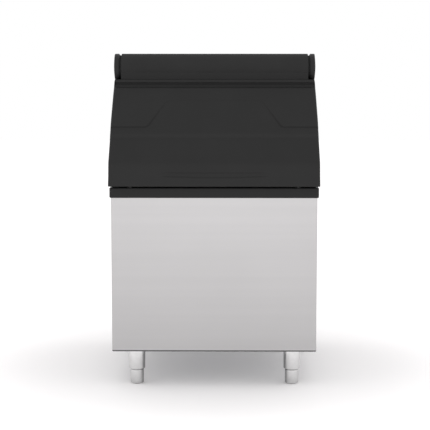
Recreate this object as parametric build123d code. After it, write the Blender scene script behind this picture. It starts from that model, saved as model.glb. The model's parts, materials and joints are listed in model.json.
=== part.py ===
from build123d import *
import os
from math import hypot, sqrt

# Ice storage bin with a sloping lid, built as the pieces that it comes apart into.
# Millimetres, +Z up, the front of the bin faces -Y, origin under the middle of the whole bin.
# Depths are measured back from the front face of the steel cabinet, heights up from the floor.

# Steel cabinet
cabinet_width = 762.0
cabinet_depth = 844.0
cabinet_underside = 136.0
cabinet_top = 713.5
sheet_thickness = 1.0
bend_radius = 4.0
skirt_overlap = 18.0
base_flange_width = 26.0
back_flange_width = 18.0
base_pan_thickness = 1.2
back_panel_thickness = 1.0

# Black moulded hood
rim_overhang = 5.5
rim_height = 37.5
rim_edge_radius = 4.0
hood_edge_radius = 8.0
skin_thickness = 4.0
skirt_clearance = 0.3
hood_side_inset = 4.0
deck_above_hinge = 10.0
frame_land_width = 59.0
opening_sill_rise = 27.0
opening_head_drop = 69.0
opening_corner_radius = 16.0
seal_tape_height = 3.0
seal_tape_width = 5.0

# Hinge barrel and ears
hinge_above_ridge = 56.0
hinge_behind_ridge = 43.0
barrel_radius = 50.0
barrel_end_gap = 4.0
barrel_clearance = 3.0
barrel_end_wall = 6.0
barrel_edge_radius = 3.0
barrel_collar_radius = 43.5
ear_thickness = 21.0
ear_chamfer = 6.0
ear_dome = 3.7
ear_edge_radius = 2.5
ear_gap_clearance = 0.3
pin_radius = 8.0
pin_reach = 20.0
pin_head_radius = 14.0
pin_head_thickness = 3.0
pin_fit_clearance = 0.05
bush_radius = 12.0
bush_boss_radius = 17.0
ear_cap_thickness = 2.0
ear_cap_clearance = 0.2
ear_seat_clearance = 0.2
bracket_tongue_width = 44.0
bracket_tongue_thickness = 10.0
bracket_tongue_reach = 112.0
bracket_screw_reaches = (74.0, 98.0)

# Lid
lid_overhang = 28.0
lid_rim_gap = 6.2
lid_side_overhang = 2.6
lip_height = 90.0
lip_lean = 15.0
lower_slope_rise = 83.5
lower_slope_run = 51.0
crease_rise = 15.0
crease_run = 3.0
upper_slope_rise = 189.5
upper_slope_run = 116.0
ridge_height = 10.0
ridge_overhang = 8.0
ridge_depth = 14.0
lid_wall = 4.0
lip_bottom_radius = 5.0
lip_top_radius = 40.0
crease_radius = 30.0
ridge_radius = 3.0
lid_liner_thickness = 3.0
seat_foot_depth = 12.0
seat_head_lead = 11.4
seat_head_drop = 53.0
field_proud = 4.0
field_foot_rise = 24.5
field_top_drop = 20.0
panel_foot_side_margin = 127.1
panel_waist_side_margin = 213.1
panel_height = 114.0
panel_foot_radius = 22.0
panel_top_radius = 40.0
grip_side_margin = 181.1
grip_top_drop = 36.5
grip_end_height = 19.0
grip_middle_height = 24.5
grip_depth = 7.0
grip_wall = 3.0
gasket_thickness = 8.0
gasket_width = 14.0
gasket_inset = 8.0
gasket_seat_clearance = 0.3
buffer_radius = 9.0
buffer_clearance = 0.3
buffer_side_margin = 76.5

# Storage liner and insulation
liner_wall = 4.0
wall_insulation = 44.0
floor_insulation = 46.0
ceiling_insulation = 46.0
header_back_run = 58.0
header_slope_run = 60.0
liner_corner_radius = 16.0
liner_seam_drop = 16.0
drop_opening_side_margin = 87.0
drop_opening_from_trough = 78.0
drop_opening_from_back = 143.0
drop_corner_radius = 20.0

# Deck fittings for the ice machine
deck_gasket_width = 14.0
deck_gasket_thickness = 3.0
deck_gasket_margin = 8.0
insert_radius = 8.0
insert_bore_radius = 4.0
insert_length = 24.0
insert_side_margin = 32.0
insert_end_margin = 75.5

# Ice baffle
baffle_thickness = 2.0
baffle_side_inset = 10.0
baffle_drop = 130.0
baffle_flange = 26.0
baffle_lead = 5.0
thumbscrew_radius = 9.0
thumbscrew_head = 8.0
thumbscrew_shank_radius = 2.5
thumbscrew_shank_length = 20.0
thumbscrew_end_margin = 70.0

# Drain
drain_from_back = 104.0
drain_flange_radius = 36.0
drain_flange_thickness = 4.0
drain_pipe_radius = 19.0
drain_outlet_radius = 16.7
drain_bore_radius = 12.5
drain_tail = 30.0
drain_nut_radius = 27.0
drain_nut_height = 10.0
drain_washer_thickness = 2.5
strainer_radius = 24.0
strainer_thickness = 2.0
strainer_recess_clearance = 0.5
strainer_hole_radius = 2.5
strainer_ring_radii = (8.5, 17.0)
strainer_ring_counts = (6, 12)

# Legs
leg_side_inset = 88.0
leg_inset = 75.0
leg_radius = 31.0
leg_step_height = 58.0
leg_wall = 4.9
leg_edge_radius = 1.5
leg_top_plate = 5.0
nut_block_height = 35.0
stud_radius = 7.9
stud_length = 28.0
leg_plate_size = 96.0
leg_plate_thickness = 4.0
leg_boss_radius = 15.0
leg_boss_height = 26.0
thread_clearance = 0.05
foot_radius = 25.5
foot_edge_radius = 4.0
foot_wall = 3.5
foot_lift_room = 10.0
foot_cap_thickness = 6.0
stem_radius = 8.0
stem_length = 36.0
foot_pad_radius = 20.0
foot_pad_height = 9.0
foot_pad_proud = 1.5
foot_pad_clearance = 0.2

# Screws
screw_radius = 2.0
screw_hole_clearance = 0.15
screw_head_radius = 4.0
screw_head_height = 2.2
screw_length = 9.0
hood_screw_length = 12.0
back_screws_per_side = 4
back_screw_end_margin = 45.0
base_screws_per_side = 4
base_screw_end_margin = 150.0
hood_screws_per_side = 3
hood_screw_end_margin = 110.0

# One overrun serves every cut
overrun = 5.0

# Heights worked out from the driving sizes, from the floor upwards
rim_top = cabinet_top + rim_height
steel_top = cabinet_top + skirt_overlap
floor_top = cabinet_underside + sheet_thickness + base_pan_thickness
liner_floor = floor_top + floor_insulation
lid_bottom = rim_top + lid_rim_gap
ridge_foot_height = lid_bottom + lip_height + lower_slope_rise + crease_rise + upper_slope_rise
hinge_height = ridge_foot_height + hinge_above_ridge
deck_height = hinge_height + deck_above_hinge
seat_head = hinge_height - seat_head_drop
opening_sill_height = lid_bottom + opening_sill_rise
opening_head_height = seat_head - opening_head_drop
liner_ceiling = deck_height - ceiling_insulation

# Depths worked out from the driving sizes, from the front backwards
front_y = (lid_overhang - rim_overhang - cabinet_depth) / 2
back_y = front_y + cabinet_depth
lid_front_y = front_y - lid_overhang
ridge_foot_y = lid_front_y + lip_lean + lower_slope_run + crease_run + upper_slope_run
hinge_y = ridge_foot_y + hinge_behind_ridge
trough_radius = barrel_radius + barrel_clearance
trough_back_y = hinge_y + trough_radius
seat_foot_y = front_y + seat_foot_depth
seat_head_y = hinge_y - seat_head_lead
seat_lean = (seat_head_y - seat_foot_y) / (seat_head - lid_bottom)
seat_stretch = hypot(1, seat_lean)
liner_front_y = front_y + sheet_thickness + wall_insulation
liner_back_y = back_y - back_panel_thickness - sheet_thickness - wall_insulation
drop_front_y = trough_back_y + drop_opening_from_trough
drop_back_y = back_y - drop_opening_from_back
drain_y = liner_back_y - drain_from_back

# Half widths worked out from the driving sizes
half_cabinet = cabinet_width / 2
half_rim = half_cabinet + rim_overhang
half_hood = half_cabinet - hood_side_inset
half_ears = half_hood + ear_dome
half_lid = half_rim + lid_side_overhang
half_liner = half_cabinet - sheet_thickness - wall_insulation
half_drop = half_hood - drop_opening_side_margin
half_baffle = half_drop - baffle_side_inset
ear_inner_x = half_hood - ear_thickness
barrel_half_length = ear_inner_x - barrel_end_gap
barrel_collar_length = barrel_end_gap - ear_gap_clearance
grip_half_width = half_lid - grip_side_margin
panel_foot_half_width = half_lid - panel_foot_side_margin
panel_waist_half_width = half_lid - panel_waist_side_margin
leg_places = [
    (side * (half_cabinet - leg_side_inset), y)
    for y in (front_y + leg_inset, back_y - leg_inset)
    for side in (-1, 1)
]
leg_names = ("front_left", "front_right", "rear_left", "rear_right")


def seat_y(height, offset=0):
    """Y of the line that the lid closes on, or of its parallel, offset back into the bin."""
    return seat_foot_y + (height - lid_bottom) * seat_lean + offset * seat_stretch


def block(x_low, x_high, y_low, y_high, z_low, z_high):
    """Box between two corners."""
    centre = Pos((x_low + x_high) / 2, (y_low + y_high) / 2, (z_low + z_high) / 2)
    return centre * Box(x_high - x_low, y_high - y_low, z_high - z_low)


def rod(radius, length, start, direction):
    """Round bar that leaves a point along a direction."""
    base = Plane(origin=start, z_dir=direction)
    return base * Cylinder(radius, length, align=(Align.CENTER, Align.CENTER, Align.MIN))


def side_face(points):
    """Face in the side view, from points of Y and Z."""
    return Plane.YZ * make_face(Polyline(*points, close=True))


def rounded_side_face(points, radii):
    """Face in the side view with a radius at each point, where zero leaves the corner sharp."""
    face = make_face(Polyline(*points, close=True))
    for point, radius in zip(points, radii):
        if radius:
            corner = face.vertices().sort_by_distance(Vector(*point))[0]
            face = fillet([corner], radius)
    return Plane.YZ * face


def across(face, half_width):
    """Side view carried to both sides of the middle."""
    return extrude(face, amount=half_width, both=True)


def rounded_block(x_low, x_high, y_low, y_high, z_low, z_high, radius):
    """Box with its upright edges rounded."""
    body = block(x_low, x_high, y_low, y_high, z_low, z_high)
    return fillet(body.edges().filter_by(Axis.Z), radius)


def seat_plane():
    """Plane that the lid closes on: X across, Y up the slope, Z out of the bin."""
    origin = (0, seat_y(lid_bottom), lid_bottom)
    return Plane(origin=origin, x_dir=(1, 0, 0), z_dir=(0, -1, seat_lean))


def slope_reach(height):
    """Distance up the slope from the lid's bottom to a height."""
    return (height - lid_bottom) * seat_stretch


def slope_block(half_width, low_height, high_height, back, front, radius=0):
    """Block that lies on the closing plane, between two heights and two distances from it."""
    low = slope_reach(low_height)
    high = slope_reach(high_height)
    body = Pos(0, (low + high) / 2, (front + back) / 2) * Box(2 * half_width, high - low, front - back)
    if radius:
        body = fillet(body.edges().filter_by(Axis.Z), radius)
    return seat_plane() * body


def spread(count, low, high):
    """Even places from one end to the other."""
    return [low + (high - low) * i / (count - 1) for i in range(count)]


def save(name, shape):
    export_step(shape, f"parts/{name}.step")


# Cabinet


def bent(body, radius):
    """Rounds the bends of the sheet: both front corners, and the bottom along the front and sides."""
    corners = body.edges().filter_by(Axis.Z).group_by(Axis.Y)[0]
    bottom = body.edges().group_by(Axis.Z)[0]
    sides = bottom.filter_by(Axis.Y)
    front = bottom.filter_by(Axis.X).sort_by(Axis.Y)[:1]
    return fillet(list(corners) + list(sides) + list(front), radius)


def inside_steel(top):
    """Room inside the bent sheet."""
    x = half_cabinet - sheet_thickness
    back = back_y - back_panel_thickness - sheet_thickness
    body = block(-x, x, front_y + sheet_thickness, back, cabinet_underside + sheet_thickness, top)
    return bent(body, bend_radius - sheet_thickness)


def cabinet_wrap():
    """One sheet bent round the front and both sides, with flanges inwards at the back and below."""
    body = block(-half_cabinet, half_cabinet, front_y, back_y - back_panel_thickness,
                 cabinet_underside, steel_top)
    body = bent(body, bend_radius)
    inner = inside_steel(steel_top + overrun)
    floor_x = half_cabinet - base_flange_width
    floor_window = block(-floor_x, floor_x, front_y + base_flange_width,
                         back_y - base_flange_width,
                         cabinet_underside - overrun, cabinet_underside + overrun)
    back_x = half_cabinet - back_flange_width
    back_window = block(-back_x, back_x, back_y - back_flange_width,
                        back_y + overrun, cabinet_underside + back_flange_width, steel_top + overrun)
    body = body - inner - floor_window - back_window
    for place in back_screw_places() + base_screw_places():
        body -= screw_hole(place)
    for place in hood_screw_places():
        body -= flush_screw_hole(half_rim, place)
    return body


def back_screw_places():
    """Point on the outside and direction inwards of each screw of the back panel."""
    low = cabinet_underside + back_screw_end_margin
    high = cabinet_top - back_screw_end_margin
    x = half_cabinet - back_flange_width / 2
    return [((side * x, back_y, z), (0, -1, 0)) for side in (-1, 1)
            for z in spread(back_screws_per_side, low, high)]


def base_screw_places():
    """Point underneath and direction upwards of each screw of the base."""
    low = front_y + base_screw_end_margin
    high = back_y - base_screw_end_margin
    x = half_cabinet - base_flange_width / 2
    return [((side * x, y, cabinet_underside), (0, 0, 1)) for side in (-1, 1)
            for y in spread(base_screws_per_side, low, high)]


def hood_screw_places():
    """Side, depth and height of each screw that holds the hood to the steel, one row a side."""
    low = front_y + hood_screw_end_margin
    high = back_y - hood_screw_end_margin
    z = cabinet_top + skirt_overlap / 2
    return [(side, y, z) for side in (-1, 1) for y in spread(hood_screws_per_side, low, high)]


def screw(place):
    """Pan-head screw whose head sits on the outside."""
    point, inward = place
    outward = tuple(-part for part in inward)
    shank = rod(screw_radius, screw_length, point, inward)
    head = rod(screw_head_radius, screw_head_height, point, outward)
    rounded = head.edges().filter_by(GeomType.CIRCLE).sort_by(Axis(point, outward))[-1:]
    return shank + fillet(rounded, screw_head_height / 2)


def screw_hole(place):
    """Clearance hole of a screw."""
    point, inward = place
    outward = Vector(*inward) * -overrun
    start = tuple(Vector(*point) + outward)
    return rod(screw_radius + screw_hole_clearance, 2 * overrun + screw_length, start, inward)


def flush_screw(outer_x, place):
    """Screw whose head lies flush in a side face."""
    side, y, z = place
    head_outer = side * outer_x
    head = rod(screw_head_radius, screw_head_height, (head_outer, y, z), (-side, 0, 0))
    shank = rod(screw_radius, hood_screw_length, (head_outer, y, z), (-side, 0, 0))
    return head + shank


def flush_screw_hole(outer_x, place):
    """Stepped hole for a flush screw."""
    side, y, z = place
    outside = (side * (outer_x + overrun), y, z)
    clear = screw_hole_clearance
    head = rod(screw_head_radius + clear, overrun + screw_head_height, outside, (-side, 0, 0))
    shank = rod(screw_radius + clear, overrun + hood_screw_length + clear, outside, (-side, 0, 0))
    return head + shank


def back_panel():
    body = block(-half_cabinet + sheet_thickness, half_cabinet - sheet_thickness,
                 back_y - back_panel_thickness, back_y,
                 cabinet_underside + sheet_thickness, steel_top)
    for place in back_screw_places():
        body -= screw_hole(place)
    return body


def base_pan():
    """Flat floor that lies on the bottom flanges, with holes for the legs and the drain."""
    x = half_cabinet - bend_radius
    low = cabinet_underside + sheet_thickness
    body = block(-x, x, front_y + bend_radius,
                 back_y - back_panel_thickness - sheet_thickness, low, low + base_pan_thickness)
    for x, y in leg_places:
        body -= rod(stud_radius + thread_clearance, 2 * overrun, (x, y, low - overrun), (0, 0, 1))
    body -= rod(drain_pipe_radius + screw_hole_clearance, 2 * overrun, (0, drain_y, low - overrun), (0, 0, 1))
    for place in base_screw_places():
        body -= screw_hole(place)
    return body


# Legs


def leg_plate(x, y):
    """Square plate with a threaded boss, inside the insulation above the floor."""
    half = leg_plate_size / 2
    plate = block(x - half, x + half, y - half, y + half, floor_top, floor_top + leg_plate_thickness)
    boss = rod(leg_boss_radius, leg_boss_height, (x, y, floor_top), (0, 0, 1))
    bore = rod(stud_radius + thread_clearance, leg_boss_height + 2 * overrun,
               (x, y, floor_top - overrun), (0, 0, 1))
    return plate + boss - bore


def leg_hollow_top():
    """Height of the threaded block's lower face inside the leg."""
    return cabinet_underside - leg_top_plate - nut_block_height


def leg_tube(x, y):
    """Upper leg: a tube with a stud on top and a threaded block inside."""
    height = cabinet_underside - leg_step_height
    body = rod(leg_radius, height, (x, y, leg_step_height), (0, 0, 1))
    body = fillet(body.edges().filter_by(GeomType.CIRCLE), leg_edge_radius)
    hollow = rod(leg_radius - leg_wall, leg_hollow_top() - leg_step_height + overrun,
                 (x, y, leg_step_height - overrun), (0, 0, 1))
    bore = rod(stem_radius + thread_clearance, nut_block_height + overrun,
               (x, y, leg_hollow_top() - overrun), (0, 0, 1))
    stud = rod(stud_radius, stud_length, (x, y, cabinet_underside - leg_edge_radius), (0, 0, 1))
    return body - hollow - bore + stud


def levelling_foot(x, y):
    """Cup that slides in the leg, on a threaded stem, with a round sole."""
    top = leg_hollow_top() - foot_lift_room
    body = rod(foot_radius, top - foot_pad_proud, (x, y, foot_pad_proud), (0, 0, 1))
    bottom_edge = body.edges().filter_by(GeomType.CIRCLE).group_by(Axis.Z)[0]
    body = fillet(bottom_edge, foot_edge_radius)
    sole = foot_pad_height + foot_wall
    hollow = rod(foot_radius - foot_wall, top - foot_cap_thickness - sole, (x, y, sole), (0, 0, 1))
    stem = rod(stem_radius, stem_length, (x, y, top), (0, 0, 1))
    recess = rod(foot_pad_radius + foot_pad_clearance, foot_pad_height + overrun,
                 (x, y, -overrun), (0, 0, 1))
    return body - hollow + stem - recess


def foot_pad(x, y):
    body = rod(foot_pad_radius, foot_pad_height, (x, y, 0), (0, 0, 1))
    return fillet(body.edges().filter_by(GeomType.CIRCLE).group_by(Axis.Z)[0], foot_pad_proud / 2)


# Hood


def frame_side_points():
    """Side view of the hood above its rim, with its sloping front frame."""
    frame_back = gasket_thickness
    return [
        (front_y, cabinet_top),
        (front_y, rim_top),
        (seat_y(rim_top, frame_back), rim_top),
        (seat_y(hinge_height, frame_back), hinge_height),
        (seat_y(hinge_height, frame_back), deck_height),
        (back_y, deck_height),
        (back_y, cabinet_top),
    ]


def trough(radius, half_length):
    """Round bar about the hinge axis."""
    return rod(radius, 2 * half_length, (-half_length, hinge_y, hinge_height), (1, 0, 0))


def rim_block(inset, low, high, radius):
    """Block of the rim, its sides and upright corners drawn in alike."""
    edge = rim_overhang - inset
    return rounded_block(-half_cabinet - edge, half_cabinet + edge, front_y - edge, back_y + edge,
                         low, high, radius)


def hood_inside():
    """Space inside the hood's skin, for the insulation."""
    skin = skin_thickness
    points = frame_side_points()
    face = offset(side_face(points), -skin, kind=Kind.INTERSECTION)
    upper = across(face, half_hood - skin)
    upper -= trough(trough_radius + skin, half_hood + overrun)
    lower_z = cabinet_top - overrun
    lower = rim_block(rim_overhang - skirt_clearance, lower_z, rim_top - skin, bend_radius + skirt_clearance)
    return upper + lower


def front_opening(back, front):
    """Opening that the lid covers."""
    half_width = half_hood - frame_land_width
    return slope_block(half_width, opening_sill_height, opening_head_height, back, front, opening_corner_radius)


def opening_cut():
    """Cut for the lid's opening, through the frame, its foam and the whole header."""
    depth = header_back_run + gasket_thickness + skin_thickness + liner_wall + overrun
    return front_opening(-depth, 0)


def drop_opening(low, high, margin=0):
    """Opening in the deck that the ice falls through."""
    return rounded_block(-half_drop - margin, half_drop + margin, drop_front_y - margin,
                         drop_back_y + margin, low, high, drop_corner_radius + margin)


def bracket_tongue(side):
    """Flat tongue that runs back and down from the ear, inside the cheek's skin."""
    outer = side * (half_hood - skin_thickness)
    start = bracket_tongue_width / 2
    half = bracket_tongue_width / 2
    points = [(start, -half), (bracket_tongue_reach, -half), (bracket_tongue_reach, half), (start, half)]
    shape = make_face(Polyline(*points, close=True))
    place = Plane(origin=(outer, hinge_y, hinge_height), x_dir=(0, 1, -1), z_dir=(-side, 0, 0))
    return extrude(place * shape, amount=bracket_tongue_thickness)


def bracket_screw_places():
    """Side, depth and height of the flush screws that hold each tongue to its cheek."""
    places = []
    for side in (-1, 1):
        for reach in bracket_screw_reaches:
            step = reach / sqrt(2)
            places.append((side, hinge_y + step, hinge_height - step))
    return places


def ear_disc():
    """Round ear of the left side, its outer face a shallow dome that stands out from the cheek."""
    outer = -half_ears
    dome_radius = (barrel_radius ** 2 + ear_dome ** 2) / (2 * ear_dome)
    disc = rod(barrel_radius, ear_dome + ear_thickness, (outer, hinge_y, hinge_height), (1, 0, 0))
    disc &= Pos(outer + dome_radius, hinge_y, hinge_height) * Sphere(dome_radius)
    rims = disc.edges().filter_by(GeomType.CIRCLE).sort_by(Axis.X)
    disc = fillet([rims[0]], ear_edge_radius)
    rims = disc.edges().filter_by(GeomType.CIRCLE).sort_by(Axis.X)
    return chamfer([rims[-1]], ear_chamfer)


def hinge_bracket(side):
    """Round ear that holds one end of the hinge, with its tongue."""
    disc = ear_disc() if side < 0 else mirror(ear_disc(), about=Plane.YZ)
    body = disc + bracket_tongue(side)
    body -= ear_bore(side)
    for place in bracket_screw_places():
        body -= flush_screw_hole(half_hood, place)
    return body


def ear_bore(side):
    """Stepped hole of an ear: pin, pin head and cap."""
    outer = side * (half_ears + overrun)
    pin = rod(pin_radius + pin_fit_clearance, ear_dome + ear_thickness + 2 * overrun,
              (outer, hinge_y, hinge_height), (-side, 0, 0))
    recess = rod(pin_head_radius + ear_cap_clearance, overrun + ear_cap_thickness + pin_head_thickness,
                 (outer, hinge_y, hinge_height), (-side, 0, 0))
    return pin + recess


def deck_insert_places():
    x = half_hood - insert_side_margin
    rows = (trough_back_y + insert_end_margin, back_y - insert_end_margin)
    return [(side * x, y) for side in (-1, 1) for y in rows]


def hood_shell():
    """Black hood: rim, cheeks, sloping frame, deck and hinge trough, in one moulding."""
    cheeks = across(side_face(frame_side_points()), half_hood)
    deck_sides = cheeks.edges().filter_by(Axis.Y).group_by(Axis.Z)[-1]
    back_corners = cheeks.edges().filter_by(Axis.Z).group_by(Axis.Y)[-1]
    deck_back = cheeks.edges().filter_by(Axis.X).group_by(Axis.Y)[-1].sort_by(Axis.Z)[-1:]
    cheeks = fillet(list(deck_sides) + list(back_corners) + list(deck_back), hood_edge_radius)
    cheeks -= trough(trough_radius, ear_inner_x)
    cheeks -= trough(barrel_radius + ear_seat_clearance, half_hood + overrun)
    rim = rim_block(0, cabinet_top, rim_top, bend_radius + rim_overhang)
    rim_edges = rim.edges().filter_by(Axis.Z, reverse=True)
    rim = fillet(rim_edges, rim_edge_radius)
    body = cheeks + rim
    body -= hood_inside()
    body -= block(-half_cabinet - skirt_clearance, half_cabinet + skirt_clearance,
                  front_y + bend_radius, back_y, cabinet_top - overrun, steel_top)
    body -= opening_cut()
    body -= drop_opening(liner_ceiling, deck_height + overrun)
    for side in (-1, 1):
        body -= bracket_tongue(side)
    for place in hood_screw_places():
        body -= flush_screw_hole(half_rim, place)
    for place in bracket_screw_places():
        body -= flush_screw_hole(half_hood, place)
    for x, y in deck_insert_places():
        body -= rod(insert_radius, 2 * overrun, (x, y, deck_height - overrun), (0, 0, 1))
    return body


def seal_tape():
    """Strip of foam tape on the top edge of the steel, all the way round."""
    outer = rim_block(rim_overhang, steel_top, steel_top + seal_tape_height, bend_radius)
    inner = rim_block(rim_overhang + seal_tape_width, steel_top - overrun,
                      steel_top + seal_tape_height + overrun, sheet_thickness)
    return outer - inner


# Storage liner and insulation


def liner_side_points():
    """Side view of the outside of the liner, its front along the back of the sloping frame."""
    skin_back = gasket_thickness + skin_thickness
    header_y = seat_y(opening_head_height, skin_back) + header_back_run
    return [
        (liner_front_y, liner_floor),
        (liner_front_y, opening_sill_height - liner_wall),
        (seat_y(opening_sill_height - liner_wall, skin_back), opening_sill_height - liner_wall),
        (seat_y(opening_head_height + liner_wall, skin_back), opening_head_height + liner_wall),
        (header_y, opening_head_height + liner_wall),
        (header_y + header_slope_run, liner_ceiling),
        (liner_back_y, liner_ceiling),
        (liner_back_y, liner_floor),
    ]


def liner_outside():
    """Everything that the liner takes up, its hollow filled."""
    body = across(side_face(liner_side_points()), half_liner)
    upright = body.edges().filter_by(Axis.Z).group_by(Axis.Y)[-1]
    floor_edges = body.edges().filter_by(Axis.X).group_by(Axis.Z)[0]
    body = fillet(list(upright) + list(floor_edges), liner_corner_radius)
    return body + drop_opening(liner_ceiling - liner_wall, deck_height)


def liner_walls():
    """All walls of the white liner, open through the sloping front and up through the deck."""
    wall = liner_wall
    face = offset(side_face(liner_side_points()), -wall, kind=Kind.INTERSECTION)
    hollow = across(face, half_liner - wall)
    upright = hollow.edges().filter_by(Axis.Z).group_by(Axis.Y)[-1]
    floor_edges = hollow.edges().filter_by(Axis.X).group_by(Axis.Z)[0]
    hollow = fillet(list(upright) + list(floor_edges), liner_corner_radius - wall)
    body = liner_outside() - hollow
    body -= opening_cut()
    body -= drop_opening(liner_ceiling - 2 * overrun, deck_height + overrun, -wall)
    body -= rod(drain_pipe_radius + screw_hole_clearance, 2 * overrun + wall,
                (0, drain_y, liner_floor - overrun), (0, 0, 1))
    for place in baffle_screw_places():
        body -= rod(thumbscrew_shank_radius + screw_hole_clearance, wall + 2 * overrun, place, (0, 0, 1))
    return body


def below_sill_seam():
    """Room below the seam that joins the tub to the liner's upper half, just under the sill."""
    seam = opening_sill_height - liner_wall - liner_seam_drop
    return block(-half_cabinet, half_cabinet, front_y, back_y, cabinet_underside, seam)


def above_ceiling_seam():
    """Room above the seam where the ceiling lies on the liner's walls."""
    seam = liner_ceiling - liner_wall
    return block(-half_cabinet, half_cabinet, front_y, back_y, seam, deck_height + overrun)


def below_floor_seam():
    """Room below the seam where the tub's walls stand on its floor, level with the top of the rounding."""
    seam = liner_floor + liner_corner_radius
    return block(-half_cabinet, half_cabinet, front_y, back_y, cabinet_underside, seam)


def tub_floor():
    """White floor of the tub, with its rounded edges and the hole for the drain."""
    return liner_walls() & below_floor_seam()


def storage_tub():
    """White walls of the tub that holds the ice."""
    return (liner_walls() & below_sill_seam()) - below_floor_seam()


def liner_surround():
    """Upper walls of the white liner, with the sloping front that frames the lid's opening."""
    return liner_walls() - below_sill_seam() - above_ceiling_seam()


def liner_throat():
    """White ceiling of the ice space, with the throat up through the deck."""
    return liner_walls() & above_ceiling_seam()


def insulation():
    """Foam poured between the steel, the hood and the liner."""
    lower = inside_steel(steel_top)
    lower -= block(-half_cabinet, half_cabinet, front_y, back_y, cabinet_underside, floor_top)
    upper = hood_inside() - block(-half_rim, half_rim, front_y - rim_overhang, back_y + rim_overhang,
                                  cabinet_top - 2 * overrun, steel_top)
    body = lower + upper
    body -= liner_outside()
    body -= opening_cut()
    body -= seal_tape()
    for x, y in leg_places:
        half = leg_plate_size / 2
        body -= block(x - half, x + half, y - half, y + half, floor_top, floor_top + leg_plate_thickness)
        body -= rod(leg_boss_radius, leg_boss_height, (x, y, floor_top), (0, 0, 1))
    drain_hole = rod(drain_pipe_radius + screw_hole_clearance, floor_insulation + overrun,
                     (0, drain_y, floor_top), (0, 0, 1))
    body -= drain_hole
    for x, y in deck_insert_places():
        body -= rod(insert_radius, insert_length, (x, y, deck_height - insert_length), (0, 0, 1))
    for place in back_screw_places() + base_screw_places():
        body -= screw_hole(place)
    for place in hood_screw_places():
        body -= flush_screw_hole(half_rim, place)
    for side in (-1, 1):
        body -= bracket_tongue(side)
    for place in baffle_screw_places():
        body -= rod(thumbscrew_shank_radius + screw_hole_clearance, thumbscrew_shank_length + overrun,
                    place, (0, 0, 1))
    return body


# Deck fittings


def deck_gasket():
    """Soft ring on the deck, round the opening, that the ice machine is set down on."""
    low = deck_height
    high = deck_height + deck_gasket_thickness
    outer = drop_opening(low, high, deck_gasket_margin + deck_gasket_width)
    return outer - drop_opening(low - overrun, high + overrun, deck_gasket_margin)


def deck_insert(x, y):
    """Threaded insert flush with the deck."""
    body = rod(insert_radius, insert_length, (x, y, deck_height - insert_length), (0, 0, 1))
    bore_length = insert_length - skin_thickness
    return body - rod(insert_bore_radius, bore_length + overrun, (x, y, deck_height - bore_length), (0, 0, 1))


# Ice baffle


def baffle_screw_places():
    """Where each thumbscrew meets the baffle's flange from below."""
    y = drop_front_y - liner_wall - baffle_lead - baffle_flange / 2
    z = liner_ceiling - liner_wall - baffle_thickness
    return [(side * (half_baffle - thumbscrew_end_margin), y, z) for side in (-1, 1)]


def ice_baffle():
    """Bent sheet under the ceiling that keeps falling ice off the lid."""
    ceiling = liner_ceiling - liner_wall
    back = drop_front_y - liner_wall - baffle_lead
    front = back - baffle_flange
    flange = block(-half_baffle, half_baffle, front, back, ceiling - baffle_thickness, ceiling)
    sheet = block(-half_baffle, half_baffle, front, front + baffle_thickness, ceiling - baffle_drop, ceiling)
    body = flange + sheet
    lower_corners = body.edges().filter_by(Axis.Y).group_by(Axis.Z)[0]
    body = fillet(lower_corners, drop_corner_radius)
    for place in baffle_screw_places():
        x, y, z = place
        body -= rod(thumbscrew_shank_radius + screw_hole_clearance, 2 * overrun,
                    (x, y, z - overrun), (0, 0, 1))
    return body


def thumbscrew(place):
    head = rod(thumbscrew_radius, thumbscrew_head, place, (0, 0, -1))
    head = fillet(head.edges().filter_by(GeomType.CIRCLE), thumbscrew_head / 4)
    return head + rod(thumbscrew_shank_radius, thumbscrew_shank_length, place, (0, 0, 1))


# Drain


def drain_seat():
    """Top of the liner's floor."""
    return liner_floor + liner_wall


def drain_body():
    """Flanged pipe through the floor, with a recess for the strainer and a narrower outlet."""
    washer_top = drain_seat() + drain_washer_thickness
    flange_top = washer_top + drain_flange_thickness
    bottom = cabinet_underside - drain_tail
    flange = rod(drain_flange_radius, drain_flange_thickness, (0, drain_y, washer_top), (0, 0, 1))
    shoulder = drain_nut_foot()
    pipe = rod(drain_pipe_radius, flange_top - shoulder, (0, drain_y, shoulder), (0, 0, 1))
    pipe += rod(drain_outlet_radius, flange_top - bottom, (0, drain_y, bottom), (0, 0, 1))
    bore = rod(drain_bore_radius, flange_top - bottom + 2 * overrun, (0, drain_y, bottom - overrun), (0, 0, 1))
    recess = rod(strainer_radius + strainer_recess_clearance, strainer_thickness + overrun,
                 (0, drain_y, flange_top - strainer_thickness), (0, 0, 1))
    return flange + pipe - bore - recess


def drain_washer():
    low = drain_seat()
    outer = rod(drain_flange_radius, drain_washer_thickness, (0, drain_y, low), (0, 0, 1))
    return outer - rod(drain_pipe_radius, 2 * overrun, (0, drain_y, low - overrun), (0, 0, 1))


def drain_nut_foot():
    """Underside of the nut, where the drain narrows to its outlet."""
    return cabinet_underside + sheet_thickness - drain_nut_height


def drain_nut():
    """Six-sided nut that pulls the drain against the underside."""
    low = drain_nut_foot()
    flats = RegularPolygon(drain_nut_radius, 6)
    body = Pos(0, drain_y, low) * extrude(flats, amount=drain_nut_height)
    bore = rod(drain_pipe_radius, drain_nut_height + 2 * overrun, (0, drain_y, low - overrun), (0, 0, 1))
    return body - bore


def drain_strainer():
    """Perforated disc that lies in the drain's recess."""
    top = drain_seat() + drain_washer_thickness + drain_flange_thickness
    low = top - strainer_thickness
    body = rod(strainer_radius, strainer_thickness, (0, drain_y, low), (0, 0, 1))
    hole = Cylinder(strainer_hole_radius, 2 * overrun)
    middle = Pos(0, drain_y, low)
    body -= middle * hole
    for ring_radius, count in zip(strainer_ring_radii, strainer_ring_counts):
        body -= middle * PolarLocations(ring_radius, count) * hole
    return body


# Lid


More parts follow.
